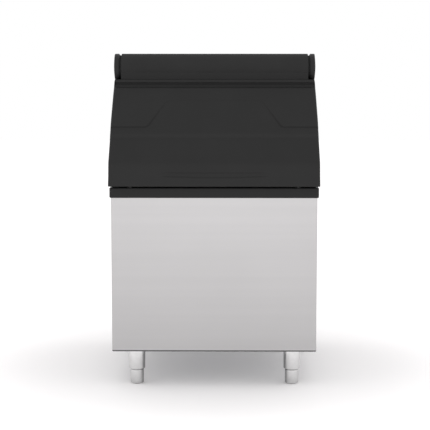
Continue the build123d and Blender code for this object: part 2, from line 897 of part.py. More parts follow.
def lid_outline_points(seat_shift=0):
    """Side view of the sloping panel, from the lip up to the ridge and down the closing plane."""
    lip_top = (lid_front_y + lip_lean, lid_bottom + lip_height)
    crease_foot = (lip_top[0] + lower_slope_run, lip_top[1] + lower_slope_rise)
    crease_top = (crease_foot[0] + crease_run, crease_foot[1] + crease_rise)
    ridge_front_y = ridge_foot_y - ridge_overhang
    ridge_top = ridge_foot_height + ridge_height
    return [
        (lid_front_y, lid_bottom),
        lip_top,
        crease_foot,
        crease_top,
        (ridge_foot_y, ridge_foot_height),
        (ridge_front_y, ridge_foot_height),
        (ridge_front_y, ridge_top),
        (ridge_front_y + ridge_depth, ridge_top),
        (seat_y(seat_head, seat_shift), seat_head),
        (seat_y(lid_bottom, seat_shift), lid_bottom),
    ]


def lid_outline(seat_shift=0):
    """The panel's side view with its lip, crease and ridge rounded."""
    radii = (lip_bottom_radius, lip_top_radius, crease_radius, crease_radius, 0, ridge_radius, ridge_radius)
    return rounded_side_face(lid_outline_points(seat_shift), radii)


def lid_front_face(inset):
    """Front view of the lid, drawn in by a wall."""
    bottom_half = half_lid - inset
    top_half = half_hood - inset
    lip_top = lid_bottom + lip_height
    top = hinge_height + barrel_radius
    points = [
        (-bottom_half, lid_bottom - overrun), (bottom_half, lid_bottom - overrun),
        (bottom_half, lip_top), (top_half, seat_head), (top_half, top),
        (-top_half, top), (-top_half, seat_head), (-bottom_half, lip_top),
    ]
    return Plane.XZ * make_face(Polyline(*points, close=True))


def lid_front_prism(inset):
    """Room between the lid's two side faces."""
    return extrude(lid_front_face(inset), amount=cabinet_depth, both=True)


def raised_field():
    """Upper part of the slope, proud of the panel in its middle."""
    points = lid_outline_points()
    crease_top = points[3]
    slope = Plane(origin=(0, crease_top[0], crease_top[1]), x_dir=(1, 0, 0),
                  z_dir=(0, -upper_slope_rise, upper_slope_run))
    stretch = hypot(upper_slope_run, upper_slope_rise) / upper_slope_rise
    low = field_foot_rise * stretch
    high = (upper_slope_rise - field_top_drop) * stretch
    sheet = Pos(0, (low + high) / 2) * Rectangle(2 * half_lid, high - low)
    panel_top = low + panel_height
    panel = make_face(Polyline(
        (-panel_foot_half_width, low), (panel_foot_half_width, low),
        (panel_waist_half_width, panel_top), (-panel_waist_half_width, panel_top), close=True))
    top_corners = panel.vertices().group_by(Axis.Y)[-1]
    panel = fillet(top_corners, panel_top_radius)
    sheet = sheet - panel
    inner_feet = sheet.vertices().group_by(Axis.Y)[0].sort_by(Axis.X)[1:-1]
    sheet = fillet(inner_feet, panel_foot_radius)
    field = extrude(slope * sheet, amount=field_proud)
    root = extrude(slope * sheet, amount=-lid_wall / 2)
    return field + root


def grip_cut():
    """Shallow crescent in the lip, straight above and bowed below."""
    top = lid_bottom + lip_height - grip_top_drop
    low_end = top - grip_end_height
    low_middle = top - grip_middle_height
    bow = ThreePointArc((grip_half_width, low_end), (0, low_middle), (-grip_half_width, low_end))
    outline = [
        bow,
        Line((-grip_half_width, low_end), (-grip_half_width, top)),
        Line((-grip_half_width, top), (grip_half_width, top)),
        Line((grip_half_width, top), (grip_half_width, low_end)),
    ]
    face = Plane.XZ * make_face(Curve() + outline)
    place = Pos(0, front_y, 0)
    return place * extrude(face, amount=lid_overhang + overrun) - grip_floor(0)


def grip_floor(wall):
    """Room behind the grip's own back, which leans as the lip does."""
    lip_y = lid_front_y + grip_depth + wall
    low = lid_bottom
    high = lid_bottom + lip_height
    face = side_face([(lip_y, low), (lip_y + lip_lean, high), (back_y, high), (back_y, low)])
    return across(face, half_rim)


def grip_boss():
    """Wall that the grip keeps round itself inside the lid."""
    top = lid_bottom + lip_height - grip_top_drop + grip_wall
    low = top - grip_middle_height - 2 * grip_wall
    half = grip_half_width + grip_wall
    body = block(-half, half, lid_front_y, front_y, low, top)
    return body - grip_floor(grip_wall)


def lid_hollow():
    """Space inside the lid's outer shell, open at the closing plane."""
    face = offset(lid_outline(lid_wall), -lid_wall, kind=Kind.INTERSECTION)
    body = across(face, half_lid) & lid_front_prism(lid_wall)
    return body - grip_boss()


def barrel_hollow():
    """Space inside the barrel, round the bosses of the bushes."""
    half = barrel_half_length - barrel_end_wall
    body = trough(barrel_radius - lid_wall, half)
    for side in (-1, 1):
        end = side * barrel_half_length
        body -= rod(bush_boss_radius, pin_reach + 2 * overrun, (end, hinge_y, hinge_height), (-side, 0, 0))
    return body


def lid_shell():
    """Black outer shell of the lid, with the hinge barrel along its top."""
    panel = across(lid_outline(), half_lid)
    body = (panel + raised_field()) & lid_front_prism(0)
    points = lid_outline_points()
    web = across(side_face([points[-3], (hinge_y, hinge_height), points[-2]]), barrel_half_length)
    barrel = trough(barrel_radius, barrel_half_length)
    barrel = fillet(barrel.edges().filter_by(GeomType.CIRCLE), barrel_edge_radius)
    barrel += trough(barrel_collar_radius, barrel_half_length + barrel_collar_length)
    body = body - lid_hollow() - grip_cut()
    body = body + (web - trough(barrel_radius - lid_wall, barrel_half_length)) + (barrel - barrel_hollow())
    for side in (-1, 1):
        end = side * (barrel_half_length + barrel_collar_length)
        length = barrel_collar_length + pin_reach + overrun
        body -= rod(bush_radius, length, (end, hinge_y, hinge_height), (-side, 0, 0))
    return body


def lid_liner():
    """Inner skin of the lid, on the closing plane."""
    inner = -lid_liner_thickness
    low = lid_bottom + lid_wall
    high = seat_head - lid_wall
    face = side_face([
        (seat_y(low), low), (seat_y(low, inner), low), (seat_y(high, inner), high), (seat_y(high), high),
    ])
    return across(face, half_lid) & lid_front_prism(lid_wall)


def lid_foam():
    return lid_hollow() - lid_liner()


def barrel_core():
    """Foam inside the hinge barrel."""
    return barrel_hollow()


def lid_gasket():
    """Soft ring on the inside of the lid, which meets the sloping frame all round the opening."""
    half = half_hood - gasket_inset
    low = rim_top + 2 * gasket_inset
    high = seat_head - gasket_inset - gasket_width
    back = -gasket_thickness + gasket_seat_clearance
    outer = slope_block(half, low, high, back, 0, opening_corner_radius)
    width = gasket_width
    inner = slope_block(half - width, low + width, high - width, back - overrun, overrun,
                        opening_corner_radius - width)
    return outer - inner


def lid_buffer(side):
    """Rubber stop on the rim that the lid's lower edge rests on."""
    height = lid_bottom - rim_top - buffer_clearance
    x = side * (half_rim - buffer_side_margin)
    body = rod(buffer_radius, height, (x, buffer_y(), rim_top), (0, 0, 1))
    return fillet(body.edges().filter_by(GeomType.CIRCLE).group_by(Axis.Z)[-1], height / 4)


def buffer_y():
    """Middle of the flat top of the rim, before the sloping frame."""
    return (front_y - rim_overhang + seat_y(rim_top, gasket_thickness)) / 2


# Hinge


def hinge_pin(side):
    """Headed pin from the ear into the bush of the barrel."""
    head_x = side * (half_ears - ear_cap_thickness)
    head = rod(pin_head_radius, pin_head_thickness, (head_x, hinge_y, hinge_height), (-side, 0, 0))
    length = abs(head_x) - barrel_half_length + pin_reach
    shank = rod(pin_radius, length, (head_x, hinge_y, hinge_height), (-side, 0, 0))
    return head + shank


def hinge_bush(side):
    """Bush pressed into the barrel, its outer end flush with the collar."""
    end = side * (barrel_half_length + barrel_collar_length)
    length = barrel_collar_length + pin_reach + overrun
    body = rod(bush_radius, length, (end, hinge_y, hinge_height), (-side, 0, 0))
    bore = rod(pin_radius + pin_fit_clearance, length - overrun / 2, (end, hinge_y, hinge_height), (-side, 0, 0))
    return body - bore


def ear_cap(side):
    """Round cover over the head of a hinge pin, at the crown of the ear's dome."""
    return rod(pin_head_radius, ear_cap_thickness, (side * half_ears, hinge_y, hinge_height), (-side, 0, 0))


def group(solids):
    return Compound(children=[solid for solid in solids])


def main():
    os.makedirs("parts", exist_ok=True)
    save("cabinet_wrap", cabinet_wrap())
    save("back_panel", back_panel())
    save("base_pan", base_pan())
    save("back_panel_screws", group(screw(place) for place in back_screw_places()))
    save("base_pan_screws", group(screw(place) for place in base_screw_places()))
    save("hood_shell", hood_shell())
    save("hood_screws", group(flush_screw(half_rim, place) for place in hood_screw_places()))
    save("hinge_bracket_screws", group(flush_screw(half_hood, place) for place in bracket_screw_places()))
    save("hood_seal_tape", seal_tape())
    save("tub_floor", tub_floor())
    save("storage_tub", storage_tub())
    save("liner_surround", liner_surround())
    save("liner_throat", liner_throat())
    save("insulation_foam", insulation())
    save("deck_gasket", deck_gasket())
    save("deck_inserts", group(deck_insert(x, y) for x, y in deck_insert_places()))
    save("ice_baffle", ice_baffle())
    save("baffle_thumbscrews", group(thumbscrew(place) for place in baffle_screw_places()))
    save("drain_fitting", drain_body())
    save("drain_washer", drain_washer())
    save("drain_nut", drain_nut())
    save("drain_strainer", drain_strainer())
    save("leg_mount_plates", group(leg_plate(x, y) for x, y in leg_places))
    for name, (x, y) in zip(leg_names, leg_places):
        save(f"leg_tube_{name}", leg_tube(x, y))
        save(f"levelling_foot_{name}", levelling_foot(x, y))
        save(f"foot_pad_{name}", foot_pad(x, y))
    save("lid_shell", lid_shell())
    save("lid_liner", lid_liner())
    save("lid_foam", lid_foam())
    save("barrel_core", barrel_core())
    save("lid_gasket", lid_gasket())
    save("lid_buffers", group(lid_buffer(side) for side in (-1, 1)))
    for name, side in (("left", -1), ("right", 1)):
        save(f"hinge_bracket_{name}", hinge_bracket(side))
        save(f"hinge_pin_{name}", hinge_pin(side))
        save(f"hinge_bush_{name}", hinge_bush(side))
        save(f"ear_cap_{name}", ear_cap(side))


main()
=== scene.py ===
# %% [markdown]
# # An ice storage bin, dressed
# The bin is a steel cabinet on four legs with a black moulded hood and a sloping black lid on a
# round hinge barrel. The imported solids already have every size, so this lesson loads them as a
# fixed frame, gives each one its finish, and works out the pieces whose curves deserve a finer
# mesh: the lid's moulding, the barrel and the turned legs. Everything is in metres.

# %% Load the frame
import json
import bpy
import numpy as np
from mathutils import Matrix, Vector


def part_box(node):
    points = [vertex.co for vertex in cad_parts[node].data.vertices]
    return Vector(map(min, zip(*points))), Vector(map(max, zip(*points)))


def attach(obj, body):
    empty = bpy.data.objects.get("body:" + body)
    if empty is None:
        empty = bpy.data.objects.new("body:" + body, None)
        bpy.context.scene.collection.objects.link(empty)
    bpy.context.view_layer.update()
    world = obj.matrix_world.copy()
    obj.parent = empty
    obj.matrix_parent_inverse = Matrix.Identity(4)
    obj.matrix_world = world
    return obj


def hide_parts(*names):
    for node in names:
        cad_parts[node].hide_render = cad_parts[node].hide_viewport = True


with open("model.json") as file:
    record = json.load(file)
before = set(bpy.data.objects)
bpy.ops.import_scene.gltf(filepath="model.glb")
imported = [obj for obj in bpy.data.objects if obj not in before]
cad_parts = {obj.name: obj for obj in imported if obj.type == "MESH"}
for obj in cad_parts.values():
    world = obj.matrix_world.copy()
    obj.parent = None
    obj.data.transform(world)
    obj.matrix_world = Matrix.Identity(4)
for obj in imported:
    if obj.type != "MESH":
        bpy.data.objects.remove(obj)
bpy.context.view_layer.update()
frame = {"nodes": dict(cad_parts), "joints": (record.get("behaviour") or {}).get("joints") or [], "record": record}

mm = 0.001

# %% [markdown]
# ## Where things are
# The lid turns about the hinge axis, and its lowest front edge stands a little in front of the
# steel, as the foremost line of the bin. The axis, the steel's front and the lid's bottom and
# width are read from the frame, so the new lid sits exactly where the solid one does.

# %% Places read from the frame
lid_overhang = 28 * mm
hinge = next(joint for joint in frame["joints"] if joint["name"] == "lid_hinge")
hinge_y, hinge_z = hinge["pos_m"][1], hinge["pos_m"][2]
cabinet_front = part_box("cabinet_wrap")[0].y
lid_low, lid_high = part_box("lid_shell")
lid_front, lid_bottom, lid_half = cabinet_front - lid_overhang, lid_low.z, lid_high.x
barrel_radius = lid_high.z - hinge_z
print("hinge axis", round(hinge_y, 4), round(hinge_z, 4), "barrel radius", round(barrel_radius, 4))

# %% [markdown]
# ## Sizes of the moulding
# Each size below is a length that a mould maker would write on the drawing: how far each run of
# the lid's side rises and runs back, and the radius of each corner.

# %% Sizes of the lid's moulding
lip_height, lip_lean = 90 * mm, 15 * mm
lower_rise, lower_run = 83.5 * mm, 51 * mm
crease_rise, crease_run = 15 * mm, 3 * mm
upper_rise, upper_run = 189.5 * mm, 116 * mm
ridge_height, ridge_overhang, ridge_depth = 10 * mm, 8 * mm, 14 * mm
seat_foot, seat_head_lead, seat_head_drop = 12 * mm, 11.4 * mm, 53 * mm
lip_bottom_radius, lip_top_radius, crease_radius = 5 * mm, 60 * mm, 36 * mm
ridge_radius, crisp_radius = 3.5 * mm, 0.5 * mm
print("lip", lip_height, "lower slope", lower_rise, "upper slope", upper_rise)

# %% [markdown]
# ## The side profile
# Seen from the side, the outside of the lid is one line: under the lip, up its leaning face, up
# the lower slope, over a soft crease, up the long slope and over a small ridge. A mould maker
# draws it as straight runs with a radius at each corner. The helper below does the same: it
# replaces each corner by an arc that touches both runs.

# %% Rounded path
def rounded_path(corners, radii, arc_steps=12):
    """Corner points with arcs. For a corner of turn angle a and radius r the arc starts and ends
    r * tan(a / 2) before and after the corner, and its points are centre + r * (cos, sin)."""
    points = [np.array(corners[0])]
    for before, corner, after, radius in zip(corners, corners[1:], corners[2:], radii):
        before, corner, after = np.array(before), np.array(corner), np.array(after)
        come = (corner - before) / np.linalg.norm(corner - before)
        go = (after - corner) / np.linalg.norm(after - corner)
        turn = np.arctan2(come[0] * go[1] - come[1] * go[0], come @ go)
        setback = radius * np.tan(abs(turn) / 2)
        start = corner - come * setback
        side = np.array([-come[1], come[0]]) * np.sign(turn)
        centre = start + side * radius
        angles = np.linspace(0, turn, arc_steps + 1)[:, None]
        spoke = start - centre
        arc = np.concatenate([spoke[0] * np.cos(angles) - spoke[1] * np.sin(angles),
                              spoke[0] * np.sin(angles) + spoke[1] * np.cos(angles)], 1)
        points.extend(centre + arc)
    points.append(np.array(corners[-1]))
    return np.array(points)


# %% [markdown]
# ### The lid's own line
# The corners follow from the sizes, one after the other, starting under the lip. Points that fall
# on top of each other are dropped, because a distance along the line needs steps of some length.

# %% Rounded side profile
seat_head_z = hinge_z - seat_head_drop
seat_foot_y = cabinet_front + seat_foot
seat_head_y = hinge_y - seat_head_lead
lip_top = (lid_front + lip_lean, lid_bottom + lip_height)
crease_foot = (lip_top[0] + lower_run, lip_top[1] + lower_rise)
crease_top = (crease_foot[0] + crease_run, crease_foot[1] + crease_rise)
ridge_foot = (crease_top[0] + upper_run, crease_top[1] + upper_rise)
ridge_front = ridge_foot[0] - ridge_overhang
ridge_top = ridge_foot[1] + ridge_height
lid_corners = [
    (seat_foot_y, lid_bottom), (lid_front, lid_bottom), lip_top, crease_foot, crease_top, ridge_foot,
    (ridge_front, ridge_foot[1]), (ridge_front, ridge_top), (ridge_front + ridge_depth, ridge_top),
    (seat_head_y, seat_head_z),
]
lid_radii = [lip_bottom_radius, lip_top_radius, crease_radius, crease_radius, crisp_radius,
             crisp_radius, ridge_radius, ridge_radius]
shortest_step = 1e-7
lid_line = rounded_path(lid_corners, lid_radii)
steps = np.linalg.norm(np.diff(lid_line, axis=0), axis=1)
lid_line = lid_line[np.concatenate([[True], steps > shortest_step])]
line_reach = np.concatenate([[0], np.cumsum(np.linalg.norm(np.diff(lid_line, axis=0), axis=1))])
print("profile of", len(lid_line), "points,", round(line_reach[-1] * 1000), "mm round")

# %% [markdown]
# ## A helper that turns a grid into a mesh
# Every new piece below is a surface: rows by columns of points, worked out as whole arrays. The
# helper puts such a grid into Blender, joins neighbours into four-sided faces, and shades them
# smooth, except where two faces meet at a sharp angle.

# %% Grid to mesh
def grid_faces(rows, columns, wrap=False):
    """Quads of a grid: corner (i, j) joins (i, j + 1), (i + 1, j + 1) and (i + 1, j). A grid that
    wraps has its last column joined to its first."""
    index = np.arange(rows * columns).reshape(rows, columns)
    if wrap:
        index = np.concatenate([index, index[:, :1]], 1)
    quads = np.stack([index[:-1, :-1], index[:-1, 1:], index[1:, 1:], index[1:, :-1]], -1)
    return quads.reshape(-1, 4)


def in_scene(name, data):
    """New object with its data, put in the scene."""
    thing = bpy.data.objects.new(name, data)
    bpy.context.scene.collection.objects.link(thing)
    return thing


def make_piece(name, points, faces, body, material, stands_for, sharp_angle=35):
    """Mesh object from points and faces, riding on a body of the frame in place of its nodes."""
    mesh = bpy.data.meshes.new(name)
    mesh.from_pydata(points.reshape(-1, 3).tolist(), [], [list(map(int, face)) for face in faces])
    mesh.validate()
    mesh.shade_smooth()
    mesh.set_sharp_from_angle(angle=np.radians(sharp_angle))
    mesh.materials.append(material)
    piece = in_scene(name, mesh)
    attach(piece, body)
    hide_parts(*stands_for)
    print(name, len(mesh.vertices), "points", len(mesh.polygons), "faces")
    return piece


# %% [markdown]
# ## Finishes
# A finish is a small tree of nodes. Each one starts from the object's own coordinates in metres:
# a noise of scale s has spots about 1 / s of a metre across. Colour and roughness vary a little,
# and a fine bump breaks up the highlights.

# %% Start of a finish
def add_node(tree, kind, inputs, output=0, **settings):
    """Output of a new node of a kind, with its settings made. Each input is a plain value or the
    output of another node, which is linked to it."""
    node = tree.nodes.new("ShaderNode" + kind)
    for name, value in settings.items():
        setattr(node, name, value)
    for name, value in inputs.items():
        if isinstance(value, bpy.types.NodeSocket):
            tree.links.new(value, node.inputs[name])
        else:
            node.inputs[name].default_value = value
    return node.outputs[output]


def start_finish(name, colour, roughness, metallic=0.0, specular=0.5):
    """New material with a principled shader and object coordinates."""
    material = bpy.data.materials.new(name)
    material.use_nodes = True
    tree = material.node_tree
    shader = tree.nodes["Principled BSDF"]
    shader.inputs["Base Color"].default_value = (*colour, 1)
    shader.inputs["Roughness"].default_value = roughness
    shader.inputs["Metallic"].default_value = metallic
    shader.inputs["Specular IOR Level"].default_value = specular
    return material, tree, shader, add_node(tree, "TexCoord", {}, "Object")


def stretched(tree, place, scale):
    """Coordinates multiplied along X, Y and Z."""
    return add_node(tree, "Mapping", {"Vector": place, "Scale": scale})


def noise(tree, vector, scale, detail=2.0):
    """Cloudy value from 0 to 1, made of spots of one size and finer ones by the detail."""
    return add_node(tree, "TexNoise", {"Vector": vector, "Scale": scale, "Detail": detail}, "Fac")


# %% [markdown]
# ### Values and colours that vary
# Noise rarely leaves the middle of its range, so the helpers stretch that middle over the two
# values or the two colours that they go between.

# %% Values and colours that vary
noise_low, noise_high = 0.3, 0.7


def between(tree, factor, low, high):
    """Value that runs from low to high as the factor goes from noise_low to noise_high."""
    return add_node(tree, "MapRange", {"Value": factor, "From Min": noise_low, "From Max": noise_high,
                                       "To Min": low, "To Max": high}, "Result")


def varied(tree, factor, middle, spread):
    """Value that runs from the middle - spread to the middle + spread."""
    return between(tree, factor, middle - spread, middle + spread)


def colour_ramp(tree, factor, stops):
    """Colour that follows the factor: each stop is a position from 0 to 1 and a colour."""
    ramp = tree.nodes.new("ShaderNodeValToRGB")
    points = ramp.color_ramp.elements
    while len(points) < len(stops):
        points.new(0.5)
    for point, (position, colour) in zip(points, stops):
        point.position = position
        point.color = (*colour, 1)
    tree.links.new(factor, ramp.inputs["Fac"])
    return ramp.outputs["Color"]


def two_tones(tree, factor, dark, light):
    """Colour that runs from dark to light as the factor goes from noise_low to noise_high."""
    return colour_ramp(tree, factor, [(noise_low, dark), (noise_high, light)])


def clouded(tree, factor, colour, darker, lighter):
    """Colour that runs from a darker to a lighter multiple of itself, no channel over 1."""
    dark = [darker * channel for channel in colour]
    light = [min(1, lighter * channel) for channel in colour]
    return two_tones(tree, factor, dark, light)


# %% [markdown]
# ### Relief and tone
# A bump tilts the surface's normal, so that light breaks on it as on a real grain. A tone is a value at each point
# of a piece, which its colour is multiplied by to be lighter or darker there: it paints light, shade and
# reflections on the piece.

# %% Bump and tone
def dress(tree, shader, colour, roughness):
    """Links a colour and a roughness to the shader."""
    tree.links.new(colour, shader.inputs["Base Color"])
    tree.links.new(roughness, shader.inputs["Roughness"])


def bump(tree, shader, height, distance, strength):
    """Bump chained in front of any bump that the shader already has."""
    normal = shader.inputs["Normal"]
    inputs = {"Height": height, "Distance": distance, "Strength": strength}
    if normal.links:
        inputs["Normal"] = normal.links[0].from_socket
    tree.links.new(add_node(tree, "Bump", inputs), normal)


def painted_light_of_points(tree, colour):
    """The colour times the tone of the piece's points, which is painted light, shade and reflection."""
    tone = add_node(tree, "Attribute", {}, "Fac", attribute_name="tone")
    return add_node(tree, "VectorMath", {0: colour, "Scale": tone}, operation="SCALE")


def set_painted_light(piece, values):
    """One tone for each point of a piece, which paints light, shade and reflection on it."""
    tone = piece.data.attributes.new("tone", "FLOAT", "POINT")
    tone.data.foreach_set("value", values.astype(np.float32))


# %% [markdown]
# ### Black moulding
# The hood and the lid are black polyethylene from a rough steel mould: nearly matt, with a fine
# even grain, slow waves where the wall is uneven, and a faint cloudiness where the plastic cooled
# at different speeds. The barrel is duller than the rest.

# %% Black moulding
moulding_cloud, moulding_grain, moulding_wave = 9, 1400, 22
moulding_grain_depth, moulding_wave_depth = 0.05 * mm, 0.25 * mm
moulding_spread, roughness_spread = 0.04, 0.02


def black_plastic(name, grey, roughness, specular, moulded=False):
    """Black plastic of one grey, which on a moulded piece also takes the painted light and shade of its points."""
    colour = (grey, grey, grey)
    material, tree, shader, place = start_finish(name, colour, roughness, specular=specular)
    cloud = noise(tree, place, moulding_cloud, detail=3)
    tone = clouded(tree, cloud, colour, 1 - moulding_spread, 1 + moulding_spread)
    if moulded:
        tone = painted_light_of_points(tree, tone)
    dress(tree, shader, tone, varied(tree, cloud, roughness, roughness_spread))
    bump(tree, shader, noise(tree, place, moulding_grain), moulding_grain_depth, 0.35)
    bump(tree, shader, noise(tree, place, moulding_wave, detail=1), moulding_wave_depth, 0.25)
    return material


lid_black = black_plastic("lid_black_plastic", 0.0312, 0.6, 0.05)
panel_black = black_plastic("moulded_black_plastic", 0.0215, 0.5, 0.15, moulded=True)
hood_black = black_plastic("hood_black_plastic", 0.0225, 0.5, 0.15)
print(lid_black.name, panel_black.name, hood_black.name)


# %% [markdown]
# ### Painted shade by height
# The big front sheet gets painted shade that deepens towards the floor and a painted dark reflection along its
# bottom fold, and each foot has a painted shadow ring and painted shade near the floor. A list of heights and
# tones draws that: a colour ramp over the height of the point, which the colour is multiplied by.

# %% Painted shade by height
def painted_shade_by_height(tree, place, colour, stops):
    """The colour times a painted shade that follows the height: each stop is a height and a tone."""
    low, high = stops[0][0], stops[-1][0]
    height = add_node(tree, "SeparateXYZ", {0: place}, "Z")
    level = add_node(tree, "MapRange", {"Value": height, "From Min": low, "From Max": high}, "Result")
    tone = colour_ramp(tree, level, [((at - low) / (high - low), (tone,) * 3) for at, tone in stops])
    return add_node(tree, "VectorMath", {0: colour, 1: tone}, operation="MULTIPLY")


# %% [markdown]
# ### Brushed stainless steel
# The sheet is brushed along its width, so its scratches are long along X and Y and very fine
# along Z. Stretching one noise that way gives both the streaks in the roughness and the bump. A
# second, wider one gives faint bands of colour. The baffle inside is the same sheet, untoned.

# %% Brushed stainless steel
scratch_scale, band_scale, steel_cloud = (2.2, 2.2, 2600), (0.6, 0.6, 42), 4
scratch_share = 0.1


def brushed_steel(name, colour, roughness, stops=None):
    """Brushed steel. Its roughness is the scratches times their share, plus a cloudy value that
    keeps the middle of the sum at the given roughness."""
    material, tree, shader, place = start_finish(name, colour, roughness, metallic=1.0)
    scratches = noise(tree, stretched(tree, place, scratch_scale), 1)
    bands = noise(tree, stretched(tree, place, band_scale), 1, detail=3)
    tone = clouded(tree, bands, colour, 0.98, 1.01)
    # Stops paint shade by height.
    if stops:
        tone = painted_shade_by_height(tree, place, tone, stops)
    cloud = varied(tree, noise(tree, place, steel_cloud), roughness - scratch_share / 2,
                   roughness_spread)
    scratched = add_node(tree, "Math", {0: scratches, 1: scratch_share, 2: cloud},
                         operation="MULTIPLY_ADD")
    dress(tree, shader, tone, scratched)
    bump(tree, shader, scratches, 0.012 * mm, 0.5)
    return material


steel_low, steel_high = (corner.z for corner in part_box("cabinet_wrap"))
# Painted shade on the front sheet: a painted dark reflection along the bottom fold, a painted light line just
# above it, and painted shade deepening towards the floor.
fold, fold_painted_reflection = steel_low + 6 * mm, 0.2
steel_painted_shade = [
    (steel_low, fold_painted_reflection), (fold, fold_painted_reflection), (fold + 1 * mm, 0.84), (fold + 3.5 * mm, 0.84),
    (fold + 4.5 * mm, 0.78), (250 * mm, 0.82), (400 * mm, 0.87), (520 * mm, 0.9),
    (620 * mm, 0.94), (steel_high, 0.96),
]
cabinet_steel = brushed_steel("cabinet_brushed_steel", (0.592, 0.584, 0.588), 0.4, steel_painted_shade)
satin_steel = brushed_steel("satin_sheet_steel", (0.62, 0.62, 0.61), 0.36)
print("steel from", round(steel_low, 4), "to", round(steel_high, 4), "fold up to", round(fold, 4))


# %% [markdown]
# ### Polished legs
# The leg tubes are turned and buffed, so they show soft upright bands of light and dark. The faint rings left by
# the buffing wheel run round the tube: noise that is fine along Z and long along X and Y does that. Only the
# turned pieces carry a tone, a painted reflection, so the solids that they stand for have a finish without it. The
# turned cups also get painted shade by height.

# %% Polished legs
buffing_scale, handled_scale = (30, 30, 1800), 60
# The groove under the tube is real; the ring's dark tone is painted shadow.
ring_low, ring_high, ring_painted_shadow, ring_bevel = 54.6 * mm, 57 * mm, 0.68, 1.2 * mm


def polished_steel(name, colour, roughness, stops=None, with_painted_reflection=False):
    """Buffed steel with faint rings, painted shade by height if it has stops, and the painted reflection of its
    points if it carries one."""
    material, tree, shader, place = start_finish(name, colour, roughness, metallic=1.0)
    rings = noise(tree, stretched(tree, place, buffing_scale), 1)
    tone = clouded(tree, noise(tree, place, handled_scale, detail=3), colour, 0.93, 1)
    if stops:
        tone = painted_shade_by_height(tree, place, tone, stops)
    if with_painted_reflection:
        tone = painted_light_of_points(tree, tone)
    dress(tree, shader, tone, between(tree, rings, roughness - 0.04, roughness + 0.06))
    bump(tree, shader, rings, 0.01 * mm, 0.3)
    return material


# Painted shade on the cup: darker near the floor, and a painted shadow ring in the groove under the tube's edge.
foot_painted_shade = [
    (0, 0.86), (20 * mm, 0.96), (ring_low - 1.4 * mm, 1), (ring_low, ring_painted_shadow),
    (ring_high, ring_painted_shadow), (ring_high + ring_bevel, 1), (200 * mm, 1),
]
leg_steel = polished_steel("polished_leg_steel", (0.68, 0.68, 0.68), 0.06)
tube_steel = polished_steel("turned_tube_steel", (0.69, 0.69, 0.69), 0.06, with_painted_reflection=True)
foot_steel = polished_steel("turned_foot_steel", (0.7, 0.7, 0.7), 0.16, foot_painted_shade, with_painted_reflection=True)
pin_steel = polished_steel("turned_pin_steel", (0.7, 0.7, 0.69), 0.24)
print(leg_steel.name, tube_steel.name, foot_steel.name, pin_steel.name)


# %% [markdown]
# ### Galvanised sheet
# The hidden sheets are galvanised and show the large crystals of the zinc. A cell pattern gives
# each crystal one value, which sets its colour, its roughness and its height together.

# %% Galvanised sheet
crystal_scale = 75
galvanised_sheet, tree, shader, place = start_finish("galvanised_sheet", (0.55, 0.56, 0.57), 0.45, 1.0)
cells = add_node(tree, "TexVoronoi", {"Vector": place, "Scale": crystal_scale}, "Color")
crystal = add_node(tree, "RGBToBW", {"Color": cells})
zinc = two_tones(tree, crystal, (0.48, 0.49, 0.505), (0.59, 0.6, 0.61))
dress(tree, shader, zinc, between(tree, crystal, 0.38, 0.55))
bump(tree, shader, crystal, 0.02 * mm, 0.4)
print(galvanised_sheet.name)

# %% [markdown]
# ### Plastics, rubber, foam, brass and zinc
# The other small parts share one helper that gives a colour its slight clouding and its own
# grain. Each line names a finish, its colour and roughness, and what differs from the usual.

# %% Plain materials with grain
plain_cloud, plain_roughness_spread = 14, 0.04


def plain(name, colour, roughness, specular=0.5, metallic=0.0, grain=900, depth=0.04 * mm, spread=0.1):
    """Colour that clouds by a small spread, with a fine grain of the given scale and depth."""
    material, tree, shader, place = start_finish(name, colour, roughness, metallic, specular)
    cloud = noise(tree, place, plain_cloud, detail=3)
    dress(tree, shader, clouded(tree, cloud, colour, 1 - spread, 1 + spread),
          varied(tree, cloud, roughness, plain_roughness_spread))
    bump(tree, shader, noise(tree, place, grain), depth, 0.5)
    return material


white_liner = plain("white_liner_plastic", (0.84, 0.85, 0.85), 0.38, 0.45, grain=420,
                    depth=0.06 * mm, spread=0.02)
white_drain = plain("white_drain_plastic", (0.78, 0.78, 0.76), 0.4, 0.4, spread=0.03)
grey_skin = plain("grey_lid_skin", (0.66, 0.67, 0.67), 0.42, 0.4, grain=500, spread=0.03)
foam_tape = plain("grey_foam_tape", (0.11, 0.11, 0.115), 0.9, 0.2, grain=1100,
                  depth=0.25 * mm, spread=0.2)
poured_foam = plain("poured_foam", (0.8, 0.7, 0.42), 0.85, 0.2, grain=500, depth=0.3 * mm, spread=0.12)
black_rubber = plain("black_rubber", (0.016, 0.016, 0.016), 0.62, 0.3, grain=1500,
                     depth=0.06 * mm, spread=0.15)
black_nylon = plain("black_nylon", (0.02, 0.02, 0.022), 0.38, 0.4, grain=1200)
foot_plastic = plain("black_foot_plastic", (0.02, 0.02, 0.02), 0.5, 0.4, grain=1000, spread=0.12)
brass = plain("threaded_brass", (0.66, 0.49, 0.22), 0.32, metallic=1.0, grain=1400, spread=0.08)
zinc_plate = plain("zinc_plated_steel", (0.62, 0.62, 0.6), 0.3, metallic=1.0, grain=1600, spread=0.06)
print("finishes so far", len(bpy.data.materials))

# %% [markdown]
# ## Dressing the solids
# The solids whose shapes are already right keep them, and only get a finish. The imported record
# says which slot each node belongs to, so one table from slot to finish dresses them all.

